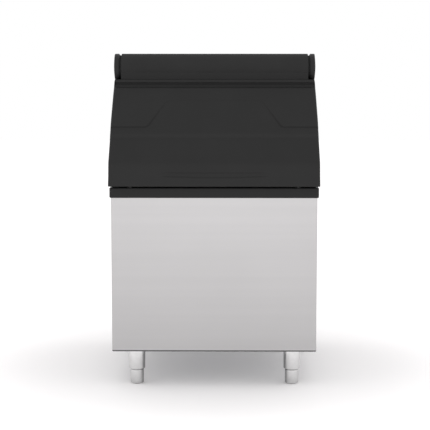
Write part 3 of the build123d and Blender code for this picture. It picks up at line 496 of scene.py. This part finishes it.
# %% Finish for each slot
finish_of_slot = {
    "brushed_stainless": cabinet_steel,
    "galvanised_steel": galvanised_sheet,
    "zinc_screws": zinc_plate,
    "black_moulding": hood_black,
    "black_lid": lid_black,
    "grey_foam_tape": foam_tape,
    "white_liner": white_liner,
    "insulation": poured_foam,
    "brass_inserts": brass,
    "baffle_steel": satin_steel,
    "white_drain": white_drain,
    "black_rubber": black_rubber,
    "grey_lid_liner": grey_skin,
    "pin_steel": pin_steel,
    "nylon_bush": black_nylon,
    "polished_leg": leg_steel,
    "foot_plastic": foot_plastic,
}
for row in frame["record"]["subparts"]:
    node = frame["nodes"][row["node"]]
    finish = finish_of_slot[row["material_slot"]]
    if not node.material_slots:
        node.data.materials.append(finish)
    for slot in node.material_slots:
        slot.material = finish
print("dressed", len(frame["nodes"]), "nodes")

# %% [markdown]
# ## The lid's moulding
# The real lid is one hollow moulding of black polyethylene. A solid model gives it flat runs and
# crisp steps, but a mould has soft ones, so here the outside is one surface over two parameters:
# the distance along the side profile, and the place across the lid. At each point it stands proud
# of the profile or sinks below it by a height, and that one function holds the embossed field,
# the hollow under the ridge and the finger grip.

# %% Sizes of the field, the hollow and the grip
field_proud, field_riser = 4 * mm, 9 * mm
field_foot_rise, field_top_drop = 24.5 * mm, 24 * mm
field_fade_start, field_fade = 6 * mm, 16 * mm
panel_foot_half, panel_waist_half, panel_height = 249 * mm, 176 * mm, 114 * mm
panel_foot_radius, panel_top_radius = 22 * mm, 40 * mm
hollow_depth, hollow_mouth, hollow_end = 2.4 * mm, 0.35, 5 * mm
grip_half, grip_end_taper, grip_edge, grip_top_share = 208 * mm, 46 * mm, 9 * mm, 0.6
grip_top_rise, grip_end_rise, grip_middle_rise = 53.5 * mm, 34.5 * mm, 29 * mm
grip_depth = 2.5 * mm
print("field", field_proud, "hollow", hollow_depth, "grip", grip_depth)


# %% [markdown]
# ### Looking up places on the profile
# A soft step is the basic brush for every feature: it goes from 0 to 1 with no crease at either
# end. The other two helpers turn a drawn corner, or a height on the lip, into a distance along
# the profile.

# %% Soft step and distances
def smooth(t):
    """Soft step from 0 to 1: t clipped to 0..1, then 3 t^2 - 2 t^3."""
    t = np.clip(t, 0, 1)
    return t * t * (3 - 2 * t)


def reach_at(corner):
    """Distance along the profile of the sample nearest to a drawn corner."""
    return line_reach[np.argmin(np.linalg.norm(lid_line - np.array(corner), axis=1))]


def reach_on_lip(rise):
    """Distance along the profile at a height above the lid's bottom, on the lip's straight face:
    the lip's top, less what is left of the height over the cosine of the lean."""
    return reach_at(lip_top) - (lip_height - rise) / np.cos(lip_lean_angle)


lip_lean_angle = np.arctan2(lip_lean, lip_height)
upper_stretch = np.hypot(upper_rise, upper_run) / upper_rise
field_foot = field_foot_rise * upper_stretch
field_notch = field_foot + panel_height
slope_start, slope_end = reach_at(crease_top), reach_at(ridge_foot)
field_end = slope_end - field_top_drop * upper_stretch
print("slope from", round(slope_start, 4), "to", round(slope_end, 4), "field to", round(field_end, 4))

# %% [markdown]
# ### The edge of the raised field
# The embossed line on the upper slope runs level near both sides, climbs two slanting sides and
# runs level again over the middle. It is a path with rounded corners, and what the surface needs
# from it is how far up the slope it lies at each place across, and how steeply it runs there.

# %% Edge of the field
panel_outline = rounded_path(
    [(-1, field_foot), (-panel_foot_half, field_foot), (-panel_waist_half, field_notch),
     (panel_waist_half, field_notch), (panel_foot_half, field_foot), (1, field_foot)],
    [panel_foot_radius, panel_top_radius, panel_top_radius, panel_foot_radius])
fine_across = np.linspace(-0.4, 0.4, 1601)
fine_edge = np.interp(fine_across, panel_outline[:, 0], panel_outline[:, 1])
fine_steep = np.gradient(fine_edge, fine_across)


def field_edge(x):
    """How far up the slope the field begins at each place across, and how much longer than its
    width that edge is there: the square root of 1 + its steepness squared."""
    steep = np.interp(x, fine_across, fine_steep)
    return np.interp(x, fine_across, fine_edge), np.sqrt(1 + steep ** 2)


print("edge from", round(fine_edge.min(), 3), "to", round(fine_edge.max(), 3), "up the slope")

# %% [markdown]
# ### Soft steps of the features
# Height and tone follow the same features, so each feature's steps are worked out once here. The
# grip's lower edge is bowed like a shallow dish.

# %% Soft steps of the features
def riser_step(reach, x):
    """Soft step over the riser, across the edge: 0 before it, a half on the line, 1 past it."""
    edge, stretch = field_edge(x)
    return smooth((reach - slope_start - edge) / stretch / field_riser + 0.5)


def climb_share(reach):
    """Share of the way from the crease up to the top of the notch, from 0 to 1."""
    return np.clip((reach - slope_start) / field_notch, 0, 1)


def hollow_step(reach):
    """Soft step over the first part of the way from the field's end to the ridge."""
    way = np.clip((reach - field_end) / (slope_end - field_end), 0, 1)
    return smooth(way / hollow_mouth)


def grip_low_reach(share):
    """Grip's lower edge at a share of its half length: its height grows with the share squared."""
    return reach_on_lip(grip_middle_rise + (grip_end_rise - grip_middle_rise) * share ** 2)


def grip_steps(reach, x):
    """Soft steps past the grip's lower edge, short of its upper edge and in from its ends."""
    low = smooth((reach - grip_low_reach(x / grip_half)) / grip_edge)
    high = smooth((reach_on_lip(grip_top_rise) - reach) / (grip_top_share * grip_edge))
    inside = smooth((grip_half - np.abs(x)) / grip_end_taper)
    return low, high, inside


# %% [markdown]
# ### Height of the surface
# Above its edge the field stands its full height proud. Below it, in the notch, a ramp takes its
# place that grows with the square of the way up, so the edge fades out towards the notch's top.

# %% Height of the moulding
def moulded_height(reach, x):
    """Height above the profile. Field: its full height past its edge, and in the notch that height
    times the square of the way up. Hollow, grip: minus a depth times a soft step at each edge."""
    step = riser_step(reach, x)
    field = field_proud * (step + (1 - step) * climb_share(reach) ** 2)
    field = field * smooth((reach - slope_start - field_fade_start) / field_fade)
    into = hollow_step(reach)
    sunk = into * smooth((slope_end - reach) / hollow_end)
    low, high, inside = grip_steps(reach, x)
    return field * (1 - into) - hollow_depth * sunk - grip_depth * (low * high * inside)


# %% [markdown]
# ### Painted light and shade of the surface
# The lip and the crease get a painted highlight and are a little lighter. Painted shade sits in the riser round
# the field, in the hollow and in the edges of the grip, which are darker. The numbers are shares of the plastic's
# own colour.

# %% Painted light and shade of the moulding
# Painted shade of the riser, the hollow and the grip, and painted highlights of the crease and the lip.
riser_painted_shade, riser_fade, hollow_painted_shade = 0.42, 0.85, 0.1
grip_painted_shade, grip_top_weight = 0.2, 0.7
crease_painted_highlight, crease_past, crease_fade = 0.14, 6 * mm, 8 * mm
lip_painted_highlight, lip_past, lip_fade = 0.1, 4 * mm, 20 * mm


def step_line(step):
    """Line where a soft step s is steepest: 4 s (1 - s), which is 1 at its middle."""
    return 4 * step * (1 - step)


def moulding_painted_light(reach, x):
    """Painted light and shade at each point, against 1 on the slopes: minus a painted shade line along each riser
    and each edge of the grip, minus painted shade in the hollow, plus a painted highlight on the crease and the
    lip."""
    riser = step_line(riser_step(reach, x)) * (1 - riser_fade * climb_share(reach))
    hollow = hollow_step(reach) * (reach < slope_end)
    crease = (smooth((reach - reach_at(crease_foot)) / crease_fade)
              * smooth((slope_start + crease_past - reach) / crease_fade))
    lip = smooth((reach_at(lip_top) + lip_past - reach) / lip_fade)
    low, high, inside = grip_steps(reach, x)
    lines = step_line(low) + grip_top_weight * step_line(high)
    return (1 - riser_painted_shade * riser - hollow_painted_shade * hollow + crease_painted_highlight * crease
            + lip_painted_highlight * lip - grip_painted_shade * inside * lines)


# %% [markdown]
# ### Rows and columns
# A feature keeps a clean edge only where the grid follows it. Rows are therefore not all at fixed
# distances: those near the grip bend along its bowed lower edge, and those near the field climb
# its slanting sides.

# %% Rows and columns of the lid
def column_places():
    """Places across, from the middle outwards and mirrored: every 10 mm up to 140 mm, close
    together from 143 to 292 mm, where the outline turns, and wide apart again from 302 mm."""
    runs = ((0, 140, 15), (143, 292, 50), (302, 340, 4))
    half = np.concatenate([np.linspace(*run) for run in runs])
    return np.concatenate([-half[:0:-1], half]) * mm


def even_rows(spans):
    """Rows at even steps over each span of start, end and count, its end included."""
    return [start + (end - start) * step / count
            for start, end, count in spans for step in range(1, count + 1)]


def row_reaches(x):
    """Distance along the profile of every row, for every column: fixed samples where the profile
    turns, and rows that follow the grip's and the field's edges."""
    def level(value):
        return np.full_like(x, value)

    lip_foot, lip_turn = reach_on_lip(12 * mm), reach_at(lip_top) - 8 * mm
    rows = [level(value) for value in line_reach[line_reach < lip_foot]]
    grip_low = grip_low_reach(np.clip(np.abs(x) / grip_half, 0, 1))
    grip_high = level(reach_on_lip(grip_top_rise))
    rows += even_rows([
        (rows[-1], grip_low - 2 * mm, 4), (grip_low - 2 * mm, grip_low + grip_edge, 9),
        (grip_low + grip_edge, grip_high - 6 * mm, 2), (grip_high - 6 * mm, grip_high + 1 * mm, 7),
        (grip_high + 1 * mm, level(lip_turn), 5)])
    turns = (line_reach > lip_turn + 1 * mm) & (line_reach < slope_start + 8 * mm)
    rows += [level(value) for value in line_reach[turns]]
    edge, stretch = field_edge(x)
    slope_row = slope_start + edge
    riser = 0.5 * field_riser * stretch + 1 * mm
    rows += even_rows([
        (rows[-1], slope_row - riser, 5), (slope_row - riser, slope_row + riser, 9),
        (slope_row + riser, level(field_end), 6),
        (level(field_end), level(slope_end - 0.5 * mm), 12)])
    rows += [level(value) for value in line_reach[line_reach > slope_end - 0.2 * mm]]
    return np.array(rows)


across_lid = column_places()
lid_rows = row_reaches(across_lid)
smallest_step = float(np.diff(lid_rows, axis=0).min() * 1000)
print("lid grid", lid_rows.shape, "smallest step", round(smallest_step, 3), "mm")


# %% [markdown]
# ### Points, normals and width
# From a distance along the profile come the point of the profile and its outward normal. From the
# height of that point comes the lid's half width there.

# %% Points, normals and width
def along_line(reach):
    """Points and outward normals of the profile: normals are the directions turned a quarter."""
    run = np.gradient(lid_line, line_reach, axis=0)
    y, z = np.interp(reach, line_reach, lid_line[:, 0]), np.interp(reach, line_reach, lid_line[:, 1])
    normal_y = np.interp(reach, line_reach, -run[:, 1])
    normal_z = np.interp(reach, line_reach, run[:, 0])
    size = np.hypot(normal_y, normal_z)
    return y, z, normal_y / size, normal_z / size


width_heights = [lip_top[1], crease_top[1] + 0.3 * upper_rise, ridge_foot[1] - 31 * mm,
                 ridge_foot[1] - 10 * mm, ridge_top]
width_insets = np.array([0, 4.6, 9.6, 11.4, 13.6]) * mm


def half_width(z):
    """The lid is widest up to the top of the lip, narrows evenly up the slope, and draws in more
    quickly beside the ridge: straight pieces between five heights."""
    return np.interp(z, width_heights, lid_half - width_insets)


print("half width from", round(lid_half, 4), "to", round(float(half_width(ridge_top)), 4))

# %% [markdown]
# ### Sides of the lid
# At each side the surface rolls over a quarter circle and runs back to the plane that the lid
# closes on. Every row ends on that plane, so the rim of the grid is one flat loop.

# %% Side of the lid
side_radius, thin_side_radius = 9 * mm, 2.5 * mm
radius_reaches = [0, reach_on_lip(8 * mm), reach_on_lip(40 * mm), field_end, slope_end, line_reach[-1]]
radius_sizes = [thin_side_radius, thin_side_radius, side_radius, side_radius, thin_side_radius,
                thin_side_radius]
seat_foot_point = np.array([seat_foot_y, lid_bottom])
seat_head_point = np.array([seat_head_y, seat_head_z])
seat_line = seat_head_point - seat_foot_point
end_fade, seat_margin = 20 * mm, 0.1


def roll_direction(reach, normal_y, normal_z):
    """Direction in which each row rolls over: against the normal, and near both ends of the
    profile by a soft step along the seat's line instead, so that the end rows stay on it."""
    up = seat_line / np.linalg.norm(seat_line)
    near_foot = smooth(1 - reach / end_fade)[:, None]
    near_head = smooth(1 - (line_reach[-1] - reach) / end_fade)[:, None]
    inward = np.stack([-normal_y, -normal_z], 1) * (1 - near_foot) * (1 - near_head)
    inward = inward + up * near_foot - up * near_head
    return inward / np.linalg.norm(inward, axis=1)[:, None]


def lid_side(side_steps=6, wall_steps=6):
    """Columns beside the last one across. For a from 0 to 90 degrees: x = w - r + r sin a, moved
    in by r (1 - cos a). Then straight lines from the rolled edge to even places on the seat."""
    reach = lid_rows[:, -1]
    y, z, normal_y, normal_z = along_line(reach)
    height = moulded_height(reach, np.full_like(reach, across_lid[-1]))
    base = np.stack([y + height * normal_y, z + height * normal_z], 1)
    inward = roll_direction(reach, normal_y, normal_z)
    radius = np.interp(reach, radius_reaches, radius_sizes)
    flat_half = half_width(z) - radius
    columns = []
    for share in (1 / 3, 2 / 3, 1):
        x = across_lid[-1] + (flat_half - across_lid[-1]) * share
        columns.append(np.column_stack([x, base]))
    for angle in np.linspace(0, np.pi / 2, side_steps + 1)[1:]:
        moved = base + inward * (radius * (1 - np.cos(angle)))[:, None]
        columns.append(np.column_stack([flat_half + radius * np.sin(angle), moved]))
    edge = columns[-1][:, 1:]
    share = (reach / line_reach[-1])[:, None]
    seat = seat_foot_point + seat_line * (seat_margin + (1 - 2 * seat_margin) * share)
    for way in np.linspace(0, 1, wall_steps + 1)[1:]:
        wall = edge + (seat - edge) * way
        columns.append(np.column_stack([half_width(wall[:, 1]), wall]))
    return np.stack(columns, 1)


# %% [markdown]
# ### The whole panel
# The middle and its two sides are one grid. Two smaller copies of its rim and a middle point
# close the back, behind the grey inner skin.

# %% The lid panel
lid_wall, lid_skin = 4 * mm, 3 * mm


def lid_surface():
    """Grid of the outside and its painted light and shade. Across the middle: profile point + height * normal. The
    left side mirrors the right one, and each side has the painted tone of the column beside it."""
    y, z, normal_y, normal_z = along_line(lid_rows)
    height = moulded_height(lid_rows, across_lid[None, :])
    middle = np.stack([np.broadcast_to(across_lid, y.shape), y + height * normal_y,
                       z + height * normal_z], -1)
    right = lid_side()
    left = right[:, ::-1] * np.array([-1, 1, 1])
    tone = moulding_painted_light(lid_rows, across_lid[None, :])
    tone = np.pad(tone, ((0, 0), (right.shape[1], right.shape[1])), mode="edge")
    return np.concatenate([left, middle, right], 1), tone


def closed_back(grid):
    """The grid's rim, the same loop drawn in by the wall, that loop sunk by the skin's thickness,
    and one middle point: rings of quads and a fan of triangles."""
    rows, columns = grid.shape[:2]
    index = np.arange(rows * columns).reshape(rows, columns)
    loop = np.concatenate([index[0, :-1], index[:-1, -1], index[-1, :0:-1], index[:0:-1, 0]])
    rim = grid.reshape(-1, 3)[loop]
    middle = (rim.min(0) + rim.max(0)) / 2
    half = np.abs(rim - middle).max(0)
    drawn_in = middle + (rim - middle) * (1 - lid_wall / half)
    out = np.array([0, -seat_line[1], seat_line[0]])
    out /= np.linalg.norm(out)
    drawn_in -= out * ((drawn_in - rim[0]) @ out)[:, None]
    sunk = drawn_in + out * lid_skin
    points = np.concatenate([grid.reshape(-1, 3), drawn_in, sunk, [sunk.mean(0)]])
    count, start = len(loop), rows * columns
    first, second = start + np.arange(count), start + count + np.arange(count)
    quads = [np.stack([np.roll(outer, -1), outer, inner, np.roll(inner, -1)], 1)
             for outer, inner in ((loop, first), (first, second))]
    fan = np.stack([np.roll(second, -1), second, np.full(count, start + 2 * count)], 1)
    return points, [*quads[0], *quads[1], *fan]


lid_grid, lid_painted_light = lid_surface()
lid_points, back_faces = closed_back(lid_grid)
lid_faces = [*grid_faces(*lid_grid.shape[:2]), *back_faces]
lid_panel = make_piece("lid_panel", lid_points, lid_faces, "lid", panel_black,
                       ["lid_shell"])
# The lid's tone is its painted light and shade.
set_painted_light(lid_panel, np.pad(lid_painted_light.ravel(), (0, len(lid_points) - lid_painted_light.size), constant_values=1))


# %% [markdown]
# ### The hinge barrel
# The barrel is moulded with the lid and turns between the ears. Its shape is one line turned about
# the hinge axis: out along the bore of the bush, over the small collar that faces the ear, over
# the rounded shoulder and along to the other end.

# %% Turning a line
def turned(profile, centre, steps):
    """Points of a profile of distances along an axis and radii, turned about that axis: the
    distance, then centre + radius * cos a, then centre + radius * sin a."""
    along, radius = profile[:, :1], profile[:, 1:]
    angle = np.linspace(0, 2 * np.pi, steps, endpoint=False)
    return np.stack([np.repeat(along, steps, 1), centre[0] + radius * np.cos(angle),
                     centre[1] + radius * np.sin(angle)], -1)


def turned_faces(rows, steps):
    """Quads between the rings, and a fan at the single point of each end. The corners run the
    way that makes the faces look outward."""
    quads = grid_faces(rows, steps, wrap=True)[:, ::-1]
    around = np.arange(steps)
    after = np.roll(around, -1)
    last_ring = (rows - 1) * steps
    first = np.stack([np.full(steps, rows * steps), around, after], 1)
    last = np.stack([np.full(steps, rows * steps + 1), last_ring + after, last_ring + around], 1)
    return [*quads, *first, *last]


# %% The barrel
bush_low, bush_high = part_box("hinge_bush_right")
collar_end, bore_end = bush_high.x, bush_low.x
bush_radius = bush_high.z - hinge_z
barrel_half, collar_radius, shoulder_radius = 352 * mm, 43.5 * mm, 3 * mm
barrel_middle = 300 * mm
half_line = rounded_path(
    [(bore_end, 0), (bore_end, bush_radius), (collar_end, bush_radius), (collar_end, collar_radius),
     (barrel_half, collar_radius), (barrel_half, barrel_radius), (barrel_middle, barrel_radius)],
    [0.2 * mm, 0.2 * mm, 1 * mm, 0.3 * mm, shoulder_radius], arc_steps=6)[1:]
full_line = np.concatenate([half_line, half_line[::-1] * np.array([-1, 1])])
rings = turned(full_line, (hinge_y, hinge_z), 96)
barrel_poles = [[bore_end, hinge_y, hinge_z], [-bore_end, hinge_y, hinge_z]]
barrel_points = np.concatenate([rings.reshape(-1, 3), barrel_poles])
barrel_faces = turned_faces(*rings.shape[:2])
make_piece("hinge_barrel", barrel_points, barrel_faces, "lid", lid_black, ["lid_shell"])


# %% [markdown]
# ### The web under the barrel
# A web joins the ridge to the underside of the barrel, so that the lid and the barrel are one moulding. It is one
# side outline carried straight across, and its front is a hollow curve with three control points a, b and c: (1 -
# t)^2 a + 2 t (1 - t) b + t^2 c for t from 0 to 1. Its tone paints shade on it, darkest at its foot, where it
# stands in the shade of the barrel.

# %% The web
def carried_across(outline, half):
    """Closed outline of y and z at both ends, side quads, and an end face at each end."""
    count = len(outline)
    right = np.column_stack([np.full(count, half), outline])
    left = np.column_stack([np.full(count, -half), outline])
    around = np.arange(count)
    after = np.roll(around, -1)
    sides = np.stack([around, after, after + count, around + count], 1)
    return np.concatenate([right, left]), [*sides, around[::-1], around + count]


foot_point = np.array([ridge_front + 3.6 * mm, ridge_top - 0.2 * mm])
bend_point = np.array([ridge_front + 0.5 * mm, ridge_top + 10 * mm])
meeting, meeting_depth = np.radians(24), 0.4 * mm
meet_direction = np.array([np.cos(meeting), np.sin(meeting)])
meet_point = np.array([hinge_y, hinge_z]) - (barrel_radius - meeting_depth) * meet_direction
way = np.linspace(0, 1, 11)[:, None]
hollow_line = (1 - way) ** 2 * foot_point + 2 * way * (1 - way) * bend_point + way ** 2 * meet_point
web_back = (ridge_front + ridge_depth - 3 * mm, ridge_top - 1 * mm)
web_inside = (hinge_y, hinge_z - 0.5 * barrel_radius)
web_line = np.concatenate([[web_back], hollow_line, [web_inside, (seat_head_y, seat_head_z)]])
web_points, web_faces = carried_across(web_line, barrel_half - 0.2 * mm)
barrel_web = make_piece("barrel_web", web_points, web_faces, "lid", panel_black,
                        ["lid_shell"], sharp_angle=20)
# Painted shade on the web, darkest at its foot under the barrel.
web_tone_heights, web_painted_shade = [ridge_top, ridge_top + 14 * mm, meet_point[1]], [0.78, 0.84, 1.04]
set_painted_light(barrel_web, np.tile(np.interp(web_line[:, 1], web_tone_heights, web_painted_shade), 2))


# %% [markdown]
# ## Legs
# Each leg is a turned tube with a threaded block inside, and a cup on a threaded stem that slides up and down in
# it. Both are one line turned about an upright axis. The side of a leg that faces the middle of the bin mirrors
# the dark space under it, and its tone paints that reflection deeper, with a thin painted dark band on the far
# side.

# %% Turning a leg
# Painted reflection: dark towards the shade under the bin, and a thin dark band on the far side.
inner_painted_reflection, inner_start, inner_fade = 0.4, 0.6, 0.25
outer_painted_reflection, outer_start, outer_fade = 0.25, 0.92, 0.06


def leg_painted_reflection(ring, centre):
    """Painted reflection round a leg, by the cosine between its radius and the way to the middle of the bin:
    darker towards the middle, and in a thin band on the far side."""
    angle = np.arctan2(ring[:, 1] - centre[1], ring[:, 0] - centre[0])
    inward = -np.sign(centre[0]) * np.cos(angle)
    inner = inner_painted_reflection * smooth((inward - inner_start) / inner_fade)
    outer = outer_painted_reflection * smooth((-inward - outer_start) / outer_fade)
    return 1 - inner - outer


def turned_leg(name, line, centre, body, finish, node):
    """Upright piece from a line of radii and heights that starts and ends on its axis, running
    upwards on the outside, so that the faces look outward. The turned points come as z, x, y."""
    rings = turned(line[1:-1, ::-1], centre, 72)[..., [1, 2, 0]]
    poles = [[*centre, line[-1][1]], [*centre, line[0][1]]]
    points = np.concatenate([rings[::-1].reshape(-1, 3), poles])
    faces = turned_faces(*rings.shape[:2])
    piece = make_piece(name, points, faces, body, finish, [node])
    pole_tones = [1, 1]
    set_painted_light(piece, np.concatenate([np.tile(leg_painted_reflection(rings[0], centre), len(rings)), pole_tones]))


# %% [markdown]
# ### Lines of the tube and the cup
# The tube's lower rim is rolled, and the cup has a narrow groove just below it, where the
# photograph shows a dark ring. The bore in the block leaves room for the stem when the foot is
# screwed right in.

# %% Turned legs
tube_radius, tube_wall, tube_foot, tube_head = 31 * mm, 4.9 * mm, 58 * mm, steel_low - 0.1 * mm
block_foot, bore_depth, stud_radius, stud_top = 96 * mm, 35 * mm, 7.9 * mm, 162 * mm
stem_radius, stem_clearance, stem_top = 8 * mm, 0.05 * mm, 122 * mm
cup_radius, cup_top = 25.5 * mm, 86 * mm
sole_radius, sole_recess, sole_foot = 20.2 * mm, 9 * mm, 1.5 * mm
bore_radius, bore_top = stem_radius + stem_clearance, block_foot + bore_depth
tube_inside, ring_radius = tube_radius - tube_wall, cup_radius - ring_bevel
tube_corners = [
    (0, bore_top), (bore_radius, bore_top), (bore_radius, block_foot), (tube_inside, block_foot),
    (tube_inside, tube_foot), (tube_radius, tube_foot), (tube_radius, tube_head),
    (stud_radius, tube_head), (stud_radius, stud_top), (0, stud_top),
]
tube_radii = np.array([0.2, 0.2, 1, 2, 2.6, 1.4, 0.2, 1]) * mm
cup_corners = [
    (0, sole_recess), (sole_radius, sole_recess), (sole_radius, sole_foot), (cup_radius, sole_foot),
    (cup_radius, ring_low - ring_bevel), (ring_radius, ring_low), (ring_radius, ring_high),
    (cup_radius, ring_high + ring_bevel), (cup_radius, cup_top), (stem_radius, cup_top),
    (stem_radius, stem_top), (0, stem_top),
]
cup_radii = np.array([0.2, 0.5, 3.6, 0.4, 0.4, 0.4, 0.4, 1, 0.2, 1]) * mm
tube_line = rounded_path(tube_corners, tube_radii, arc_steps=6)
cup_line = rounded_path(cup_corners, cup_radii, arc_steps=6)
for place in ("front_left", "front_right", "rear_left", "rear_right"):
    tube, foot = "leg_tube_" + place, "levelling_foot_" + place
    low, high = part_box(tube)
    centre = ((low.x + high.x) / 2, (low.y + high.y) / 2)
    turned_leg("turned_tube_" + place, tube_line, centre, "cabinet", tube_steel, tube)
    turned_leg("turned_foot_" + place, cup_line, centre, "foot_" + place, foot_steel, foot)


# %% [markdown]
# ## Studio
# The photograph is a plain studio picture: white all round, a pale floor with a soft shadow under
# the bin, and light from everywhere. The world gives that light, as one even white dome. Steel and
# plastic reflect the same white room that the camera sees behind the bin.

# %% World
white = (1, 1, 1, 1)
world = bpy.data.worlds.new("studio")
bpy.context.scene.world = world
world.use_nodes = True
sky = world.node_tree.nodes["Background"]
sky.inputs["Color"].default_value = white
sky.inputs["Strength"].default_value = 1.0
print("world", world.name)


# %% [markdown]
# ### Floor
# White paper on a studio floor vanishes into the background, and only the shadow shows. The floor reflects nearly
# all of its light, and rays from the camera and from reflections see a little glow added to it, which grows away
# from the bin, so the weaker glow near the bin paints a deeper shadow over the rendered one. The glow lights
# nothing.

# %% Glow of the floor
floor_half, paper_white, paper_tint = 14.0, 0.97, (1, 0.982, 0.986)
# The weaker glow near the bin paints a deeper shadow round it.
glow_in_painted_shadow, glow_far, glow_start, glow_end = 0.09, 0.21, 0.6, 1.1
floor_paper = bpy.data.materials.new("floor_paper")
floor_paper.use_nodes = True
tree = floor_paper.node_tree
tree.nodes.clear()
path = tree.nodes.new("ShaderNodeLightPath")
seen = path.outputs["Is Camera Ray"]
for kind in ("Is Glossy Ray", "Is Transmission Ray"):
    seen = add_node(tree, "Math", {0: seen, 1: path.outputs[kind]}, operation="MAXIMUM")
place = add_node(tree, "TexCoord", {}, "Object")
distance = add_node(tree, "VectorMath", {0: place}, "Value", operation="LENGTH")
glow = add_node(tree, "MapRange", {"Value": distance, "From Min": glow_start, "From Max": glow_end,
                                   "To Min": glow_in_painted_shadow, "To Max": glow_far}, "Result",
                interpolation_type="SMOOTHSTEP")
strength = add_node(tree, "Math", {0: seen, 1: glow}, operation="MULTIPLY")
light = add_node(tree, "Emission", {"Color": white, "Strength": strength})
paper_colour = [channel * paper_white for channel in paper_tint]
paper = add_node(tree, "BsdfDiffuse", {"Color": (*paper_colour, 1)})
both = add_node(tree, "AddShader", {0: paper, 1: light})
tree.links.new(both, tree.nodes.new("ShaderNodeOutputMaterial").inputs["Surface"])
print("glow", glow_in_painted_shadow, "to", glow_far)

# %% Floor
corners = [(-floor_half, -floor_half, 0), (floor_half, -floor_half, 0), (floor_half, floor_half, 0),
           (-floor_half, floor_half, 0)]
floor_mesh = bpy.data.meshes.new("studio_floor")
floor_mesh.from_pydata(corners, [], [(0, 1, 2, 3)])
floor_mesh.materials.append(floor_paper)
in_scene("studio_floor", floor_mesh)
print("floor of", 2 * floor_half, "m each way")


# %% [markdown]
# ### Lamp
# One large, weak lamp stands in front of the bin and faces a point at its middle, as a soft box
# would: its own minus Z points there, tilted from straight down and turned about the upright.

# %% Lamp
lamp_place, lamp_target = np.array([0.0, -6.0, 1.6]), np.array([0, 0, 0.8])
lamp_light = bpy.data.lights.new("front_soft_box", "AREA")
lamp_light.shape = "SQUARE"
lamp_light.size = 3.0
lamp_light.energy = 8
lamp = in_scene("front_soft_box", lamp_light)
lamp.location = lamp_place
away = lamp_target - lamp_place
tilt = np.arctan2(np.hypot(away[0], away[1]), -away[2])
lamp.rotation_euler = (tilt, 0, np.arctan2(away[1], away[0]) - np.pi / 2)
print("lamp", lamp_light.size, "m square,", lamp_light.energy, "W")

# %% [markdown]
# ## Camera
# The camera stands nearly five metres in front of the bin, a little above the hinge, and looks
# slightly down, as the lines of the feet, the cabinet and the hinge in the photograph tell.
# Lengths are in metres, angles in degrees, and the lens in millimetres.

# %% Camera
camera_distance, camera_height, camera_side = 4.939, 1.242, 0.055
camera_pitch, camera_turn = 6.83, 0.6
camera_lens, camera_sensor = 112.86, 36
camera_data = bpy.data.cameras.new("studio_camera")
camera_data.sensor_width = camera_sensor
camera_data.lens = camera_lens
camera = in_scene("studio_camera", camera_data)
camera.location = (camera_side, cabinet_front - camera_distance, camera_height)
camera.rotation_euler = (np.radians(90 - camera_pitch), 0, np.radians(camera_turn))
bpy.context.scene.camera = camera
bpy.context.scene.view_settings.view_transform = "Standard"
print("camera at", [round(value, 3) for value in camera.location])
